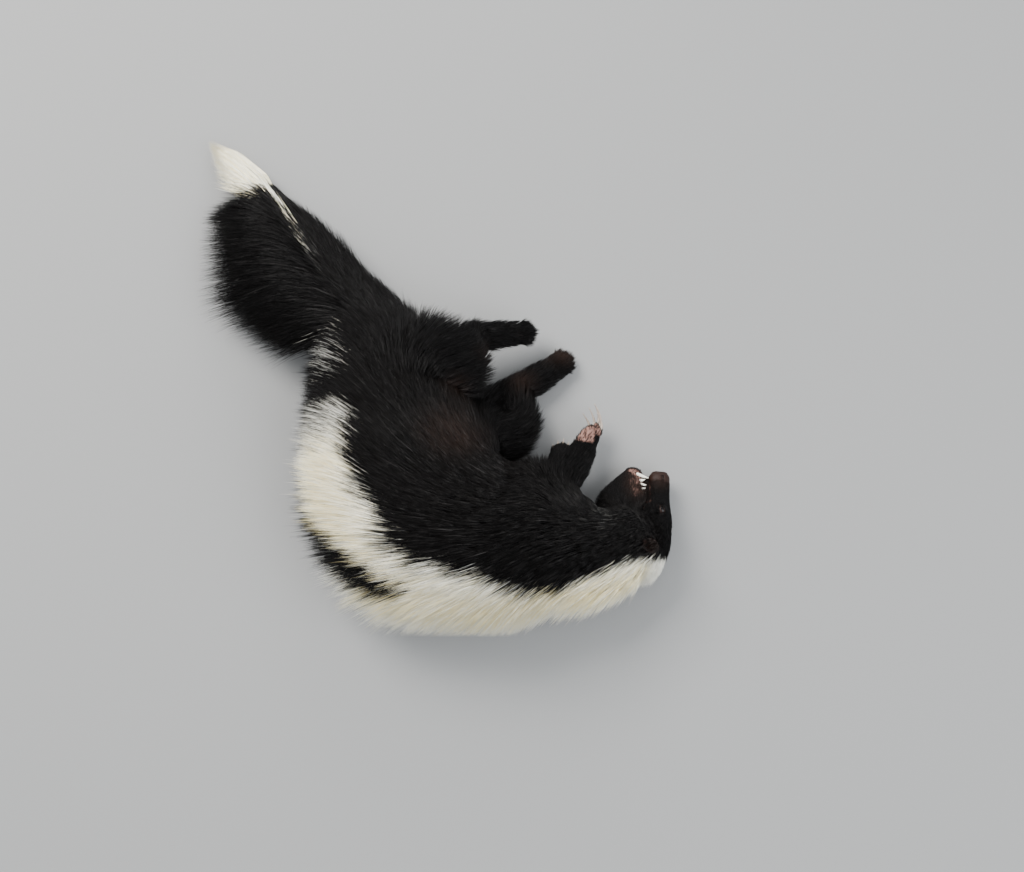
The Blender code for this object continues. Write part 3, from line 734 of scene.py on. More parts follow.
# --------------------------------------------------------- the skin's own map
def atlas(v):
    """A patch of the map for each part: round the section across, along it up.
    The cut of every patch is on the side that lies on the floor."""
    w, found = locate(v)
    best = w.argmax(0)
    cells = {}
    x = 0.0
    widths = [0.34, 0.12, 0.06, 0.07, 0.05, 0.05, 0.07, 0.05, 0.06, 0.04, 0.05, 0.04]
    for name, wide in zip(NAMES, widths):
        cells[name] = (x, wide)
        x += wide
    uv = np.empty((len(v), 2))
    for k, name in enumerate(NAMES):
        m = best == k
        if not m.any():
            continue
        idx, s, ang = found[name]
        turn = ((ang[m] + 90) % 360) / 360
        x0, wide = cells[name]
        uv[m, 0] = (x0 + wide * (0.02 + 0.96 * turn)) / x
        uv[m, 1] = 0.02 + 0.96 * np.clip((s[m] + 25) / (PARTS[name].len[-1] + 60), 0, 1)
    return uv, best, {k: c[1] / x for k, c in cells.items()}


# ------------------------------------------------------------- the materials
def shader(name):
    mat = bpy.data.materials.new(name)
    mat.use_nodes = True
    nt = mat.node_tree
    return mat, nt, nt.nodes['Principled BSDF']


def node(nt, kind, **inputs):
    n = nt.nodes.new(kind)
    for k, val in inputs.items():
        if k in n.inputs:
            n.inputs[k].default_value = val
        else:
            setattr(n, k, val)
    return n


def mix(nt, a, b, fac):
    m = nt.nodes.new('ShaderNodeMix')
    m.data_type = 'RGBA'
    for socket, val in (('A', a), ('B', b)):
        slot = [s for s in m.inputs if s.name == socket and s.type == 'RGBA'][0]
        if isinstance(val, tuple):
            slot.default_value = (*val, 1)
        else:
            nt.links.new(val, slot)
    fs = [s for s in m.inputs if s.name == 'Factor' and s.type == 'VALUE'][0]
    if isinstance(fac, (int, float)):
        fs.default_value = fac
    else:
        nt.links.new(fac, fs)
    return [o for o in m.outputs if o.type == 'RGBA'][0]


def coat_material():
    """Black, white and brown hair: the four channels of the coat's attribute are
    its mark (white), tone (from hair to hair, and above 1 a painted highlight of lighter grey streak hairs on the
    black coat), place along it, and warmth."""
    mat, nt, s = shader('coat')
    at = node(nt, 'ShaderNodeAttribute', attribute_name='coat')
    sep = node(nt, 'ShaderNodeSeparateColor')
    nt.links.new(at.outputs['Color'], sep.inputs[0])
    mark, tone_and_glint, along = sep.outputs[0], sep.outputs[1], sep.outputs[2]
    warm = at.outputs['Alpha']
    dark = mix(nt, (0.0005, 0.0005, 0.0005), (0.0045, 0.0041, 0.0042), tone_and_glint)
    # a tone above 1 paints a highlight: lighter grey streak hairs that stand in for the sheen on black fur
    glint = node(nt, 'ShaderNodeMath', operation='SUBTRACT', use_clamp=True)
    nt.links.new(tone_and_glint, glint.inputs[0])
    glint.inputs[1].default_value = 1.0
    dark = mix(nt, dark, (0.026, 0.024, 0.0235), glint.outputs[0])
    dark = mix(nt, dark, (0.040, 0.022, 0.016), warm)
    white = mix(nt, (0.93, 0.915, 0.82), (0.99, 0.985, 0.93), tone_and_glint)
    white = mix(nt, white, (0.95, 0.82, 0.44), warm)
    colour = mix(nt, dark, white, mark)
    nt.links.new(colour, s.inputs['Base Color'])
    s.inputs['Roughness'].default_value = 0.38
    s.inputs['Specular IOR Level'].default_value = 0.13
    return mat


def skin_material():
    mat, nt, s = shader('skin')
    at = node(nt, 'ShaderNodeAttribute', attribute_name='coat')
    sep = node(nt, 'ShaderNodeSeparateColor')
    nt.links.new(at.outputs['Color'], sep.inputs[0])
    mark, bare = sep.outputs[0], sep.outputs[1]
    coord = node(nt, 'ShaderNodeTexCoord')
    noise = node(nt, 'ShaderNodeTexNoise', Scale=900.0, Detail=4.0)
    nt.links.new(coord.outputs['Object'], noise.inputs['Vector'])
    fur = mix(nt, (0.0015, 0.0014, 0.0014), (0.005, 0.0045, 0.0045), noise.outputs[0])
    white = mix(nt, (0.46, 0.41, 0.34), (0.66, 0.62, 0.55), noise.outputs[0])
    base = mix(nt, fur, white, mark)
    flesh_tone = mix(nt, (0.13, 0.055, 0.045), (0.36, 0.21, 0.165), noise.outputs[0])
    dark_flesh = mix(nt, (0.008, 0.0045, 0.004), (0.024, 0.013, 0.010), noise.outputs[0])
    base = mix(nt, base, dark_flesh, sep.outputs[2])
    base = mix(nt, base, flesh_tone, bare)
    nt.links.new(base, s.inputs['Base Color'])
    s.inputs['Roughness'].default_value = 0.5
    s.inputs['Specular IOR Level'].default_value = 0.14
    bump = node(nt, 'ShaderNodeBump', Strength=0.5, Distance=0.0006)
    nt.links.new(noise.outputs[0], bump.inputs['Height'])
    nt.links.new(bump.outputs[0], s.inputs['Normal'])
    return mat


COAT = coat_material()
SKIN = skin_material()


def paint(mesh, values):
    layer = mesh.attributes.new('coat', 'FLOAT_COLOR', 'POINT')
    layer.data.foreach_set('color', np.asarray(values, np.float32).ravel())


# ------------------------------------------------------------------ the coat
PATCH = 0.003


def strands(name, points, radii, frame_a, frame_b, uv, colour):
    """Closed three-sided tapering hairs as one joined mesh. points (N, K+1, 3),
    radii (N, K): K rings and a tip."""
    N, K1, _ = points.shape
    K = K1 - 1
    roll = rng.uniform(0, 2 * math.pi, N)
    rings = []
    for k in range(K):
        for j in range(3):
            a = roll + j * 2 * math.pi / 3
            off = frame_a * np.cos(a)[:, None] + frame_b * np.sin(a)[:, None]
            rings.append(points[:, k] + off * radii[:, k, None])
    verts = np.stack(rings + [points[:, K]], 1)
    V = 3 * K + 1
    tris, tuv = [], []
    place = lambda k, j: (j / 3 - 0.5, k / K - 0.5)
    tris.append((0, 2, 1))
    tuv.append(((-0.5, -0.5), (0.5, -0.5), (0.0, -0.62)))
    for k in range(K - 1):
        for j in range(3):
            a, b = 3 * k + j, 3 * k + (j + 1) % 3
            c, d = a + 3, b + 3
            tris.append((a, b, d)); tuv.append((place(k, j), place(k, j + 1), place(k + 1, j + 1)))
            tris.append((a, d, c)); tuv.append((place(k, j), place(k + 1, j + 1), place(k + 1, j)))
    for j in range(3):
        a, b = 3 * (K - 1) + j, 3 * (K - 1) + (j + 1) % 3
        tris.append((a, b, 3 * K)); tuv.append((place(K - 1, j), place(K - 1, j + 1), ((j + 0.5) / 3 - 0.5, 0.5)))
    tris, tuv = np.array(tris), np.array(tuv)
    F = len(tris)
    mesh = bpy.data.meshes.new(name)
    mesh.vertices.add(N * V)
    mesh.vertices.foreach_set('co', (verts * MM).astype(np.float32).ravel())
    idx = (tris[None] + (np.arange(N) * V)[:, None, None]).reshape(-1)
    mesh.loops.add(len(idx))
    mesh.loops.foreach_set('vertex_index', idx.astype(np.int32))
    mesh.polygons.add(N * F)
    mesh.polygons.foreach_set('loop_start', np.arange(0, len(idx), 3, dtype=np.int32))
    mesh.polygons.foreach_set('use_smooth', np.ones(N * F, bool))
    low, high = uv.min(0), uv.max(0)
    spot = 0.006 + 0.988 * (uv - low) / (high - low)
    layer = mesh.uv_layers.new(name='OFBake')
    loops = spot[:, None, None, :] + PATCH * tuv[None]
    layer.data.foreach_set('uv', loops.astype(np.float32).ravel())
    along = np.concatenate([np.repeat(np.arange(K) / K, 3), [1.0]])
    values = np.empty((N, V, 4))
    values[:, :, 0] = colour[:, 0, None] + (colour[:, 1] - colour[:, 0])[:, None] * along
    values[:, :, 1] = colour[:, 2, None]
    values[:, :, 2] = along
    values[:, :, 3] = colour[:, 3, None]
    paint(mesh, values.reshape(-1, 4))
    mesh.materials.append(COAT)
    mesh.update(calc_edges=True)
    mesh.validate()
    ob = bpy.data.objects.new(name, mesh)
    bpy.context.scene.collection.objects.link(ob)
    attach(ob, 'root')
    print(name, N, 'hairs', N * F, 'triangles')
    return ob


CAD_LOW = np.array(CAD_BOX[0]) / MM
CAD_HIGH = np.array(CAD_BOX[1]) / MM


def wave(p, seed, scale):
    """A smooth field, -1 to 1, from a few crossing waves."""
    r = np.random.default_rng(seed)
    out = np.zeros(len(p))
    for _ in range(5):
        k = unit(r.normal(size=3)) * r.uniform(0.6, 1.5) / scale
        out += np.sin(p @ k * 2 * math.pi + r.uniform(0, 6.3))
    return out / 3.0


COUNTS = {'tail': 21000, 'rump_back': 15000, 'shoulder_back': 15000, 'rump_flank': 17000, 'shoulder_flank': 15000,
          'neck': 12000, 'head': 34000, 'thighs': 17500, 'feet': 24000}
RINGS = {'tail': 3, 'head': 1, 'feet': 1}
FAN = Chain(moved(TAIL_FAN))
WHITE_FROM = 30.0        # the last stretch of the tail that carries the white tuft
BLACK_STOP = 216.0       # the black fan ends at this station of the outline


def groups(w, found, length):
    """The coat piece that each point belongs to."""
    part = w.argmax(0)
    s, ang = found['spine'][1], found['spine'][2]
    sp = part == NAMES.index('spine')
    g = np.where(length > 8.5, 'thighs', 'feet').astype(object)
    g[part == NAMES.index('tail')] = 'tail'
    g[part == NAMES.index('jaw')] = 'head'
    g[sp & (s >= 336)] = 'head'
    g[sp & (s >= 262) & (s < 336)] = 'neck'
    back = sp & (s < 262) & (np.abs(ang) < 62)
    g[back & (s < 128)] = 'rump_back'
    g[back & (s >= 128)] = 'shoulder_back'
    flank = sp & (s < 262) & (np.abs(ang) >= 62)
    g[flank & (s < 128)] = 'rump_flank'
    g[flank & (s >= 128)] = 'shoulder_flank'
    return g


def grow(v, normals, tris):
    """Roots of all hairs, spread over the skin piece by piece."""
    a, b, c = (v[tris[:, i]] for i in range(3))
    cross = np.cross(b - a, c - a)
    area = 0.5 * np.linalg.norm(cross, axis=1)
    fn = unit(cross)
    mid = (a + b + c) / 3
    w, found = locate(mid)
    _, length, _ = region_values(mid, fn, w, found)
    local = np.interp(length, [2, 4, 8, 16, 30, 60], [4.2, 3.0, 1.8, 1.05, 0.85, 0.85])
    # fewer where the body lies on the floor
    local = local * np.interp(fn[:, 2], [-1, -0.4, 0.1, 1], [0.30, 0.45, 0.9, 1.0]) * hairy(mid)
    g = groups(w, found, length)
    pick = []
    for name, count in COUNTS.items():
        m = np.nonzero(g == name)[0]
        weight = area[m] * local[m]
        total = int(count * (1))
        pick.append(m[rng.choice(len(m), size=total, p=weight / weight.sum())])
    pick = np.concatenate(pick)
    r1, r2 = np.sqrt(rng.random(len(pick))), rng.random(len(pick))
    bary = np.stack([1 - r1, r1 * (1 - r2), r1 * r2], 1)
    p = a[pick] * bary[:, :1] + b[pick] * bary[:, 1:2] + c[pick] * bary[:, 2:]
    n = unit(normals[tris[pick, 0]] * bary[:, :1] + normals[tris[pick, 1]] * bary[:, 1:2]
             + normals[tris[pick, 2]] * bary[:, 2:])
    return p, n, g[pick]


def plan_of(p):
    return p - CENTRE


def blob(p, x, y, sx, sy):
    """A soft spot on the plan, 0 to 1."""
    q = plan_of(p)
    return np.exp(-((q[:, 0] - x) / sx) ** 2 - ((q[:, 1] - y) / sy) ** 2)


def hairy(p):
    """1 where hair grows, 0 on the nose, lips, eyes, palm and in the ears."""
    keep = np.ones(len(p))
    for eye, way in ((EYE_LEFT, EYE_WAY['left']), (EYE_RIGHT, EYE_WAY['right'])):
        d = p - eye
        beside = np.linalg.norm(d - (d @ way)[:, None] * way, axis=1)
        keep *= np.where((np.linalg.norm(d, axis=1) < 8) & (d @ way > 0), smooth01(beside, 2.3, 3.3), 1)
    for at, half, deep, turns in EARS.values():
        rot = np.array(turned(*turns).to_3x3())
        q = (p - np.array(at) - CENTRE) @ rot
        inside = (np.hypot(q[:, 0] / half[0], q[:, 1] / half[1]) < 0.92) & (q[:, 2] > -0.6) & (q[:, 2] < deep + 1)
        keep *= np.where(inside, 0.12, 1)
    q = plan_of(p)
    nose = (q[:, 0] > 190) * smooth01(q[:, 1], -99.5, -97)
    keep *= 1 - nose
    keep *= 0.09 + 0.91 * (1 - lip(p))
    keep *= 0.04 + 0.96 * (1 - palm(p))
    for root, *_ in PAWS.values():
        keep *= 0.35 + 0.65 * smooth01(np.linalg.norm(p - np.array(root) - CENTRE, axis=1), 7, 12)
    return keep


def lip(p):
    """The bare pinkish skin of the chin and lips, 0 to 1."""
    q = plan_of(p)
    patchy = 0.5 + 0.5 * wave(p, 21, 7)
    chin = smooth01(q[:, 1] + 5 * patchy, -125, -110) * smooth01(q[:, 0] + 4 * patchy, 176, 183) * (1 - smooth01(q[:, 0], 192.6, 194))
    chin = chin * (0.55 + 0.45 * patchy).clip(0, 1)
    edge = np.exp(-((mouth_gap(p) - 3.2) / 1.5) ** 2) * (q[:, 1] > -121) * (q[:, 0] < 196)
    return np.maximum(chin, 0.7 * edge) * smooth01(mouth_gap(p), 0.8, 2.4)


def palm(p):
    d = p - PALM
    across = d - (d @ PALM_WAY)[:, None] * PALM_WAY
    inner = (1 - smooth01(np.linalg.norm(across, axis=1), 11, 16)) * smooth01(d @ PALM_WAY, -8.5, -3.0)
    digits = 1 - smooth01(np.linalg.norm(p - DIGITS, axis=1), 13, 17)
    return np.maximum(inner, 0.85 * digits)


def tail_hairs(p, n, s, ang):
    """Tips of the tail's hairs: they fill the fan, long on the left, and the
    hairs of the end make the white tuft; some on top lie along it as a streak."""
    N = len(p)
    bone = PARTS['tail']
    idx = FAN.where(p)[0]
    here = FAN.len[idx] + ((p - FAN.c[idx]) * FAN.t[idx]).sum(1)
    tuft = s > TAIL_END - WHITE_FROM
    streak = (~tuft) & (np.abs(ang - 84) < 17) & (rng.random(N) < 0.6 * smooth01(s, 46, 84) * (1 - 0.80 * smooth01(s, 104, 132)))
    reach = rng.uniform(26, 62, N) * np.interp(s, [0, 40, 90], [0.75, 0.95, 1.0])
    aim = here + reach
    late = rng.uniform(0, 1, N) ** 0.62
    aim = np.where(tuft, late * (FAN.len[-1] + 1 - 217) + 217, np.minimum(aim, BLACK_STOP - rng.random(N) * 14))
    aim = np.maximum(aim, here + 12)
    at = np.interp(aim, FAN.len, np.arange(len(FAN.len)))
    lo = np.floor(at).astype(int).clip(0, len(FAN.c) - 2)
    fr = (at - lo)[:, None]
    blend = lambda q: q[lo] * (1 - fr) + q[lo + 1] * fr
    c, L, U, sz = blend(FAN.c), unit(blend(FAN.l)), unit(blend(FAN.u)), blend(FAN.s)
    side = -np.cos(np.radians(ang))
    # a hair goes to its own side, nearly to the outline or part of the way
    far = np.sqrt(rng.random(N))
    wn = np.sign(side) * np.abs(side) ** 0.5 * (0.34 + 0.74 * far)
    wn = np.where(tuft, (rng.normal(0.42, 0.25, N) + 0.06 * (1 - late)).clip(-0.35, 1.2) * (1 - 0.15 * late), wn)
    wn = np.where((wn > 0) & ~tuft, wn * (1.14 + 0.20 * smooth01(s, 40, 90)), wn)
    wide = np.where(wn > 0, sz[:, 4], sz[:, 3])
    hn = np.sin(np.radians(ang)) * rng.uniform(0.35, 0.95, N) * np.sqrt((1 - wn ** 2).clip(0.04, 1))
    high = np.where(hn > 0, sz[:, 5], sz[:, 6])
    tip = c + L * (wn * wide)[:, None] + U * (hn * high)[:, None]
    along = bone.t[bone.where(p)[0]]
    lay = p + along * rng.uniform(36, 58, N)[:, None] + np.array([0, 0, 3.5]) + rng.normal(0, 1.6, (N, 3))
    tip = np.where(streak[:, None], lay, tip)
    span = np.linalg.norm(tip - p, axis=1)
    way = unit(unit(tip - p) * 0.75 + n * 0.55 + along * 0.35)
    bend = p + way * (span * 0.46)[:, None]
    pts = []
    for q in (0.34, 0.68, 1.0):
        pts.append(p * (1 - q) ** 2 + bend * (2 * q * (1 - q)) + tip * q * q)
    return pts, span, tuft, streak


def coat(skin):
    v, n, t = mesh_arrays(skin.data)
    tree = BVHTree.FromPolygons([Vector(x) for x in v], [tuple(int(i) for i in f) for f in t])
    p, nn, group = grow(v, n, t)
    w, found = locate(p)
    flow, length, lift = region_values(p, nn, w, found)
    N = len(p)
    ti = NAMES.index('tail')
    s, ang = found['spine'][1], found['spine'][2]
    long = smooth01(length, 8, 30)

    # locks: hairs near one another share a direction and draw together a little
    lock = rng.choice(N, size=max(N // 14, 10), replace=False)
    kd = KDTree(len(lock))
    for i, k in enumerate(lock):
        kd.insert(p[k], i)
    kd.balance()
    mine = np.array([kd.find(q)[1] for q in p])
    M = len(lock)
    turn = (rng.normal(0, 0.075, M)[mine] + rng.normal(0, 0.06, N) + 0.10 * wave(p, 3, 60)) * (0.5 + 0.5 * long)
    rise = rng.normal(0, 0.025, M)[mine] + rng.normal(0, 0.035, N)
    size = (1 + rng.normal(0, 0.06, M)[mine] + rng.normal(0, 0.10, N)).clip(0.6, 1.35)
    size = size * np.where(rng.random(N) < 0.07, 1.18, 1.0)
    length = length * size
    side = np.cross(nn, flow)
    flow = unit(flow + side * turn[:, None])
    lift = (lift + rise).clip(0.06, 0.8)
    # the hair's way at the root, the middle and the tip
    d0 = unit(flow + nn * (lift * 2.1)[:, None])
    d1 = unit(flow + nn * (lift * 0.9)[:, None])
    legs = sum(w[NAMES.index(k)] for k in ('shank_hl', 'foot_hl', 'leg_hr', 'foot_hr'))
    d2 = unit(flow + nn * (lift * (0.12 + 0.55 * legs))[:, None])
    q1 = p + d0 * (length * 0.34)[:, None]
    q2 = q1 + d1 * (length * 0.33)[:, None]
    q3 = q2 + d2 * (length * 0.33)[:, None]
    m = group == 'tail'
    (t1, t2, t3), span, tuft, streak = tail_hairs(p[m], nn[m], found['tail'][1][m], found['tail'][2][m])
    q1[m], q2[m], q3[m] = t1, t2, t3
    length[m] = span
    is_tuft, is_streak = np.zeros(N, bool), np.zeros(N, bool)
    is_tuft[m], is_streak[m] = tuft, streak
    centre = lock[mine]
    same = (group[centre] == group) & (is_tuft[centre] == is_tuft) & ~is_streak & ~is_streak[centre]
    draw = (0.26 * smooth01(length, 5, 26) * same)[:, None]
    q3 = q3 + (q3[centre] - q3) * draw
    q2 = q2 + (q2[centre] - q2) * draw * 0.4
    # nothing goes back into the body, below the floor or out of the solids' box
    shape = np.stack([p - nn * 0.25, q1, q2, q3], 1)
    find = tree.find_nearest
    short = np.isin(group, ('head', 'feet'))
    three = group == 'tail'
    for k, keep in ((1, 0.045), (2, 0.06), (3, 0.06)):
        who = np.nonzero(three)[0] if k == 2 else (np.nonzero(~short)[0] if k == 1 else np.arange(N))
        pts = shape[:, k].tolist()
        margin = np.minimum(0.45 + keep * length, 3.5).tolist()
        for i in who.tolist():
            q = pts[i]
            loc, nor, _, d = find(q)
            h = (q[0] - loc[0]) * nor[0] + (q[1] - loc[1]) * nor[1] + (q[2] - loc[2]) * nor[2]
            if h < margin[i]:
                push = margin[i] - h
                pts[i] = [q[0] + nor[0] * push, q[1] + nor[1] * push, q[2] + nor[2] * push]
        shape[:, k] = pts
    low = 0.7 + 0.5 * rng.random(N)
    for k in (1, 2, 3):
        shape[:, k, 2] = np.maximum(shape[:, k, 2], low)
    shape[:, 0, 2] = np.maximum(shape[:, 0, 2], 0.8)
    shape[:, 1:] = np.clip(shape[:, 1:], CAD_LOW + 0.6, CAD_HIGH - 0.3)

    # colour, read where the hair shows rather than at its root
    ragged = rng.normal(0, 0.4, N) + 0.5 * wave(p, 8, 16)
    seen = p + (shape[:, 3] - p) * 0.38
    mark = fur_mark(seen, locate(seen)[1], ragged)
    seen = p + (shape[:, 3] - p) * 0.82
    mark = np.minimum(mark, fur_mark(seen, locate(seen)[1], ragged))
    seen = p + (shape[:, 3] - p) * 0.66
    fs = locate(seen)[1]
    mark = mark * np.where(group == 'tail', 0, (w[0] + w[NAMES.index('jaw')]).clip(0, 1))
    mark = np.where(rng.random(N) < mark, 0.5 + 0.5 * smooth01(mark, 0.2, 0.9), 0.0)
    mark[is_tuft] = 1.0
    stretch = found['tail'][1]
    mark = np.where(is_streak, smooth01(stretch, 66, 104) * 0.85 + 0.10, mark)
    patch = blob(seen, -84, 2, 11, 16) * (seen[:, 2] > 26)
    mark = np.where((rng.random(N) < patch * 0.19) & ~is_streak, 0.62, mark)
    grey = 0.22 * blob(seen, 150, -135, 9, 10) * (seen[:, 2] > 30)
    mark = np.where(rng.random(N) < grey, 0.05, mark)
    tone_and_glint = rng.beta(2, 2.6, N)
    # a few black hairs get a tone above 1, which the coat material turns into lighter grey painted highlight streaks
    tone_and_glint = np.where((rng.random(N) < 0.035) & (mark < 0.1), 1.0 + 2.2 * rng.random(N), tone_and_glint)
    sa, ss = fs['spine'][2], fs['spine'][1]
    warm_white = 0.95 * np.exp(-((sa - 32) / 24) ** 2) * (1 - smooth01(ss, 318, 336)) * smooth01(ss, 50, 90) + 0.14
    warm_white = np.where(is_tuft, 0.6, warm_white)
    warm_white = np.where(is_streak, 0.45, warm_white)
    warm_white = np.where(patch > 0.2, 0.0, warm_white)
    warm = np.where(mark > 0.5, warm_white * rng.random(N) * 1.3, 0.02)
    brown = (0.42 * blob(seen, 24, -67, 24, 18) + 0.34 * blob(seen, 29, -27, 12, 10)
             + 0.25 * blob(seen, 56, 6, 12, 10)) * (seen[:, 2] > 45)
    brown = np.maximum(brown, 0.5 * blob(seen, 84, -11, 13, 10) * (seen[:, 2] < 40))
    brown = np.maximum(brown, 0.8 * blob(seen, 120, 14, 14, 9))
    brown = np.maximum(brown, 0.9 * blob(seen, 184, -104, 10, 12))
    brown = np.maximum(brown, 0.7 * blob(seen, 205, -100, 10, 9))
    brown = np.maximum(brown, 0.30 * blob(seen, 191, -162, 8, 8) * (seen[:, 2] > 50))
    warm = np.where(mark < 0.5, np.maximum(warm, brown * (0.5 + 0.5 * rng.random(N))), warm)
    colour = np.stack([mark * 0.9, mark, tone_and_glint, warm], 1)

    # the pieces
    uv, _, _ = atlas(p)
    r0 = np.interp(length, [1.5, 4, 10, 30, 60], [0.13, 0.17, 0.22, 0.26, 0.27]) * rng.uniform(0.8, 1.2, N)
    d = unit(shape[:, 3] - shape[:, 0])
    fa = unit(np.cross(d, np.where(np.abs(d[:, 2:]) > 0.9, [[1.0, 0, 0]], [[0, 0, 1.0]])))
    fb = np.cross(d, fa)
    for name in COUNTS:
        m = np.nonzero(group == name)[0]
        rings = RINGS.get(name, 2)
        cols = {1: [0, 3], 2: [0, 1, 3], 3: [0, 1, 2, 3]}[rings]
        taper = {1: [1.35], 2: [0.95, 1.05], 3: [0.9, 1.1, 0.8]}[rings]
        per = {1: 4, 2: 10, 3: 16}[rings]
        rad = r0[m, None] * np.array(taper)[None]
        bins = int(math.ceil(len(m) * per / 196000))
        order = m[np.argsort(uv[m, 1], kind='stable')]
        for k in range(bins):
            sel = order[k::bins]
            strands('coat_%s%s' % (name, '' if bins == 1 else '_%d' % (k + 1)), shape[sel][:, cols],
                    r0[sel, None] * np.array(taper)[None], fa[sel], fb[sel], uv[sel], colour[sel])


def fur_mark(p, found, ragged):
    """How white the coat of the body and head is where it shows, 0 to 1."""
    s, ang = found['spine'][1], found['spine'][2]
    mark = stripe_mark(s, ang, ragged)
    q = plan_of(p)
    z = np.maximum(p[:, 2], 56 - p[:, 2])
    front = q[:, 1] + 0.176 * (z - 52)          # the crown's edge runs straight across the head
    on_head = smooth01(q[:, 0], 176, 180)
    mark = mark * (1 - on_head * smooth01(front + ragged * 0.8, -170.4, -168.0))
    blaze = np.exp(-(ang / 11) ** 2) * smooth01(s, 352, 360) * (1 - smooth01(s, 378, 386))
    return np.maximum(mark, 0.6 * blaze)


# ------------------------------------------------ eyes, nose, claws and teeth
def simple(name, base, rough, spec=0.5, coat_w=0.0):
    mat, nt, s = shader(name)
    s.inputs['Base Color'].default_value = (*base, 1)
    s.inputs['Roughness'].default_value = rough
    s.inputs['Specular IOR Level'].default_value = spec
    s.inputs['Coat Weight'].default_value = coat_w
    return mat


def piece(bm, name, mat, nodes=()):
    for f in bm.faces:
        f.smooth = True
    bmesh.ops.scale(bm, vec=(MM, MM, MM), verts=bm.verts)
    ob = to_object(bm, name)
    ob.data.materials.append(mat)
    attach(ob, 'root')
    if nodes:
        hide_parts(*nodes)
    return ob


def merge(forms):
    bm = bmesh.new()
    mesh = bpy.data.meshes.new('form')
    for f in forms:
        f.to_mesh(mesh)
        f.free()
        bm.from_mesh(mesh)
    bpy.data.meshes.remove(mesh)
    return bm


def ball(at, radius, rings=24):
    bm = bmesh.new()
    bmesh.ops.create_uvsphere(bm, u_segments=rings * 2, v_segments=rings, radius=radius)
    bmesh.ops.translate(bm, verts=bm.verts, vec=Vector(at))
    return bm


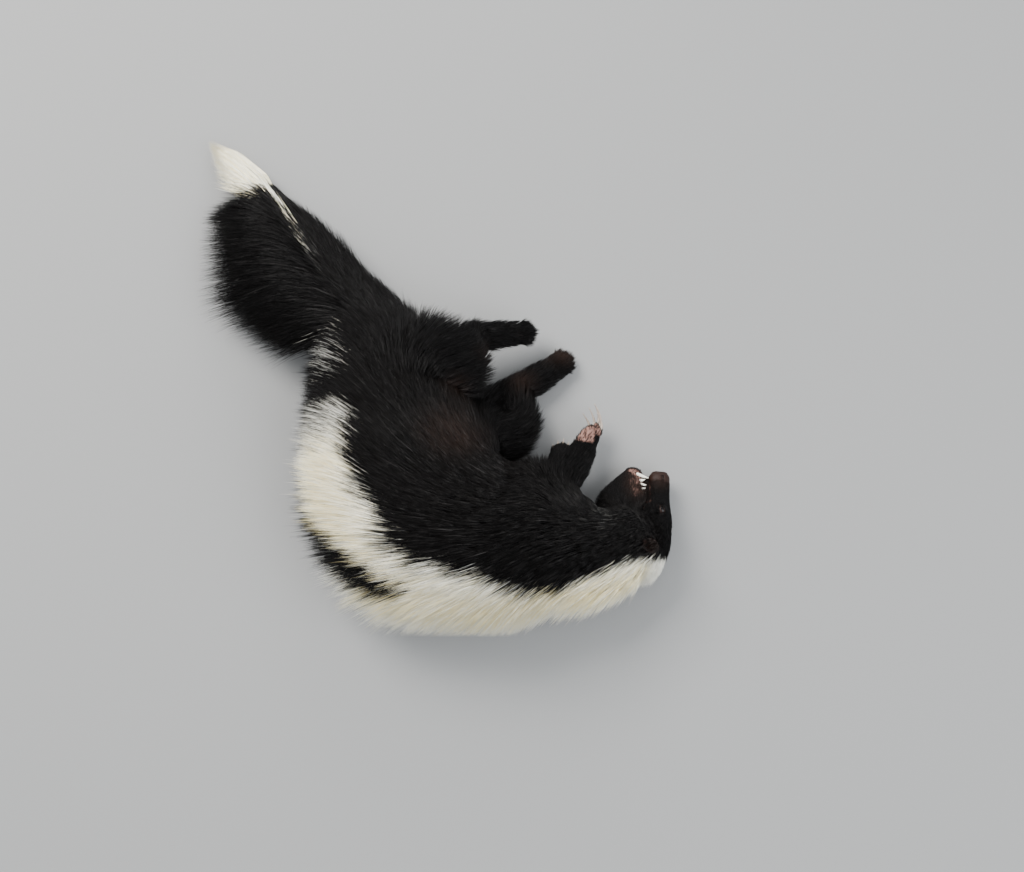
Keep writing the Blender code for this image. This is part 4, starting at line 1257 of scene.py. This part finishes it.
def details(claws):
    eye = simple('eye', (0.003, 0.002, 0.002), 0.12, 0.22, 0.0)
    piece(ball(EYE_LEFT, EYE_RADIUS), 'eye_left_ball', eye, ('eye_left',))
    piece(ball(EYE_RIGHT, EYE_RADIUS), 'eye_right_ball', eye, ('eye_right',))
    horn, nt, s = shader('claw')
    coord = node(nt, 'ShaderNodeTexCoord')
    noise = node(nt, 'ShaderNodeTexNoise', Scale=350.0, Detail=3.0)
    nt.links.new(coord.outputs['Object'], noise.inputs['Vector'])
    nt.links.new(mix(nt, (0.20, 0.155, 0.125), (0.42, 0.35, 0.29), noise.outputs[0]), s.inputs['Base Color'])
    s.inputs['Roughness'].default_value = 0.32
    dark = simple('claw_dark', (0.045, 0.032, 0.026), 0.4)
    for paw, rows in claws.items():
        forms = [loft(r, steps=4, sides=12, tip=0.4, root=0.3, power=2.0, caps=(0.6,)) for r in rows]
        piece(merge(forms), 'claws_' + paw, horn if paw.startswith('fore') else dark)
    nose_mat, nt, s = shader('nose')
    coord = node(nt, 'ShaderNodeTexCoord')
    cells = node(nt, 'ShaderNodeTexVoronoi', Scale=1500.0)
    nt.links.new(coord.outputs['Object'], cells.inputs['Vector'])
    bump = node(nt, 'ShaderNodeBump', Strength=0.6, Distance=0.0003)
    nt.links.new(cells.outputs[0], bump.inputs['Height'])
    nt.links.new(bump.outputs[0], s.inputs['Normal'])
    s.inputs['Base Color'].default_value = (0.015, 0.0060, 0.0038, 1)
    s.inputs['Roughness'].default_value = 0.45
    s.inputs['Specular IOR Level'].default_value = 0.14
    rows = [((204.2, -104.0, 18.6), (9.2, 9.4, 9.0, 9.0)), ((204.6, -100.5, 18.0), (9.3, 9.7, 9.2, 9.2)),
            ((205.0, -96.8, 17.4), (8.8, 9.2, 8.6, 8.6)), ((205.2, -94.2, 17.2), (7.2, 7.5, 6.9, 6.9))]
    rows = [tuple(np.array(c) + CENTRE) + r for c, r in rows]
    bm = loft(rows, steps=14, sides=128, tip=2.3, root=3.0, caps=(0.1, 0.2, 0.3, 0.4, 0.5, 0.6, 0.68, 0.75, 0.81, 0.87, 0.92, 0.96, 0.99))
    bm.normal_update()
    for vert in bm.verts:
        x, y, z = np.array(vert.co) - CENTRE
        side = abs(z - 17.6)
        # the slit at the side of each nostril, the opening in front, and the groove between
        dx = x - 207.2 - 0.12 * (y + 100) + 0.05 * (y + 100) ** 2
        slot = math.exp(-(dx / 0.9) ** 2) * (1 if -104.5 < y < -96.5 else 0) * (1 if side > 5 else 0)
        hole = math.exp(-((x - 205.6) / 1.9) ** 2 - ((side - 4.0) / 1.7) ** 2) * (1 if y > -96.5 else 0)
        groove = math.exp(-(side / 0.55) ** 2) * (1 if y > -97 and x < 206.5 else 0)
        vert.co -= vert.normal * (1.5 * slot + 2.1 * hole + 0.6 * groove)
        # the slits and openings get the near-black nostril material: painted shade inside the nose's openings
        if max(slot, hole) > 0.42:
            for f in vert.link_faces:
                f.material_index = 1
    pad = piece(bm, 'nose_pad', nose_mat, ('nose',))
    # nostril material: a near-black colour painted into the shallow openings as their shade
    pad.data.materials.append(simple('nostril', (0.002, 0.001, 0.001), 0.6, 0.1))
    tooth = simple('tooth', (0.78, 0.74, 0.64), 0.25, 0.5, 0.3)
    forms = []
    for side in (1, -1):
        for i, (y, x, height, radius) in enumerate(((-96.0, 187.0, 7.4, 1.5), (-100.8, 187.8, 3.6, 1.3),
                                                    (-104.4, 187.6, 4.6, 1.5), (-108.4, 188.2, 3.2, 1.6),
                                                    (-112.2, 188.6, 2.6, 1.4))):
            foot = np.array([x, y, 17.4 + side * (6.6 + 0.35 * i) + 0.2 * i]) + CENTRE
            lean = np.array([1.0, (-0.42, 0.10, -0.22, 0.05, -0.15)[i], side * 0.02])
            rows = [(*(foot + lean * height * q + np.array([0, 0.5, 0]) * q * q), r, r, r, r)
                    for q, r in ((-0.35, radius * 0.9), (0.0, radius), (0.4, radius * 0.82), (0.75, radius * 0.5),
                                 (1.0, radius * 0.2))]
            forms.append(loft(rows, steps=4, sides=14, tip=0.5, root=0.3, power=2.0, caps=(0.5, 0.85)))
    piece(merge(forms), 'teeth', tooth)


skin, claws = make_skin()
v, n, t = mesh_arrays(skin.data)
uv, best, cell = atlas(v)
layer = skin.data.uv_layers.new(name='OFBake')
loops = np.empty(len(skin.data.loops), np.int32)
skin.data.loops.foreach_get('vertex_index', loops)
starts = np.empty(len(skin.data.polygons), np.int32)
totals = np.empty(len(skin.data.polygons), np.int32)
skin.data.polygons.foreach_get('loop_start', starts)
skin.data.polygons.foreach_get('loop_total', totals)
face = np.repeat(np.arange(len(starts)), totals)
luv = uv[loops]
first = uv[loops[starts]][face]
wide = np.array([cell[k] for k in NAMES])[best[loops[starts]]][face]
jump = luv[:, 0] - first[:, 0]
luv[:, 0] = np.where(np.abs(jump) > wide * 0.5, first[:, 0], luv[:, 0])
layer.data.foreach_set('uv', luv.astype(np.float32).ravel())
w, found = locate(v)
q = plan_of(v)
fur_part = (w[0] + w[NAMES.index('jaw')]).clip(0, 1)
white = fur_mark(v, found, np.zeros(len(v))) * fur_part
pink = np.maximum(lip(v) * 0.85, palm(v))
dark = np.maximum(1 - smooth01(np.linalg.norm(v - EYE_LEFT, axis=1), 5, 8), 1 - smooth01(np.linalg.norm(v - EYE_RIGHT, axis=1), 5, 8))
dark = np.maximum(dark, smooth01(q[:, 1], -112, -100) * (q[:, 0] > 170))
for at, half, deep, turns in EARS.values():
    dark = np.maximum(dark, 1 - smooth01(np.linalg.norm(q - at, axis=1), 8, 11))
for root, *_ in PAWS.values():
    dark = np.maximum(dark, 1 - smooth01(np.linalg.norm(q - root, axis=1), 10, 15))
paint(skin.data, np.stack([white, pink, dark, white * 0 + 1], 1))
for f in skin.data.polygons:
    f.use_smooth = True
skin.data.materials.append(SKIN)
coat(skin)
skin.data.transform(Matrix.Scale(MM, 4))
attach(skin, 'root')
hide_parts('head', 'jaw', 'ear_left', 'ear_right', 'neck', 'trunk', 'tail_base', 'tail_middle', 'tail_tip',
            'leg_fore_left', 'leg_fore_right', 'leg_hind_left', 'leg_hind_right',
            'paw_fore_left', 'paw_fore_right', 'paw_hind_left', 'paw_hind_right')
details(claws)
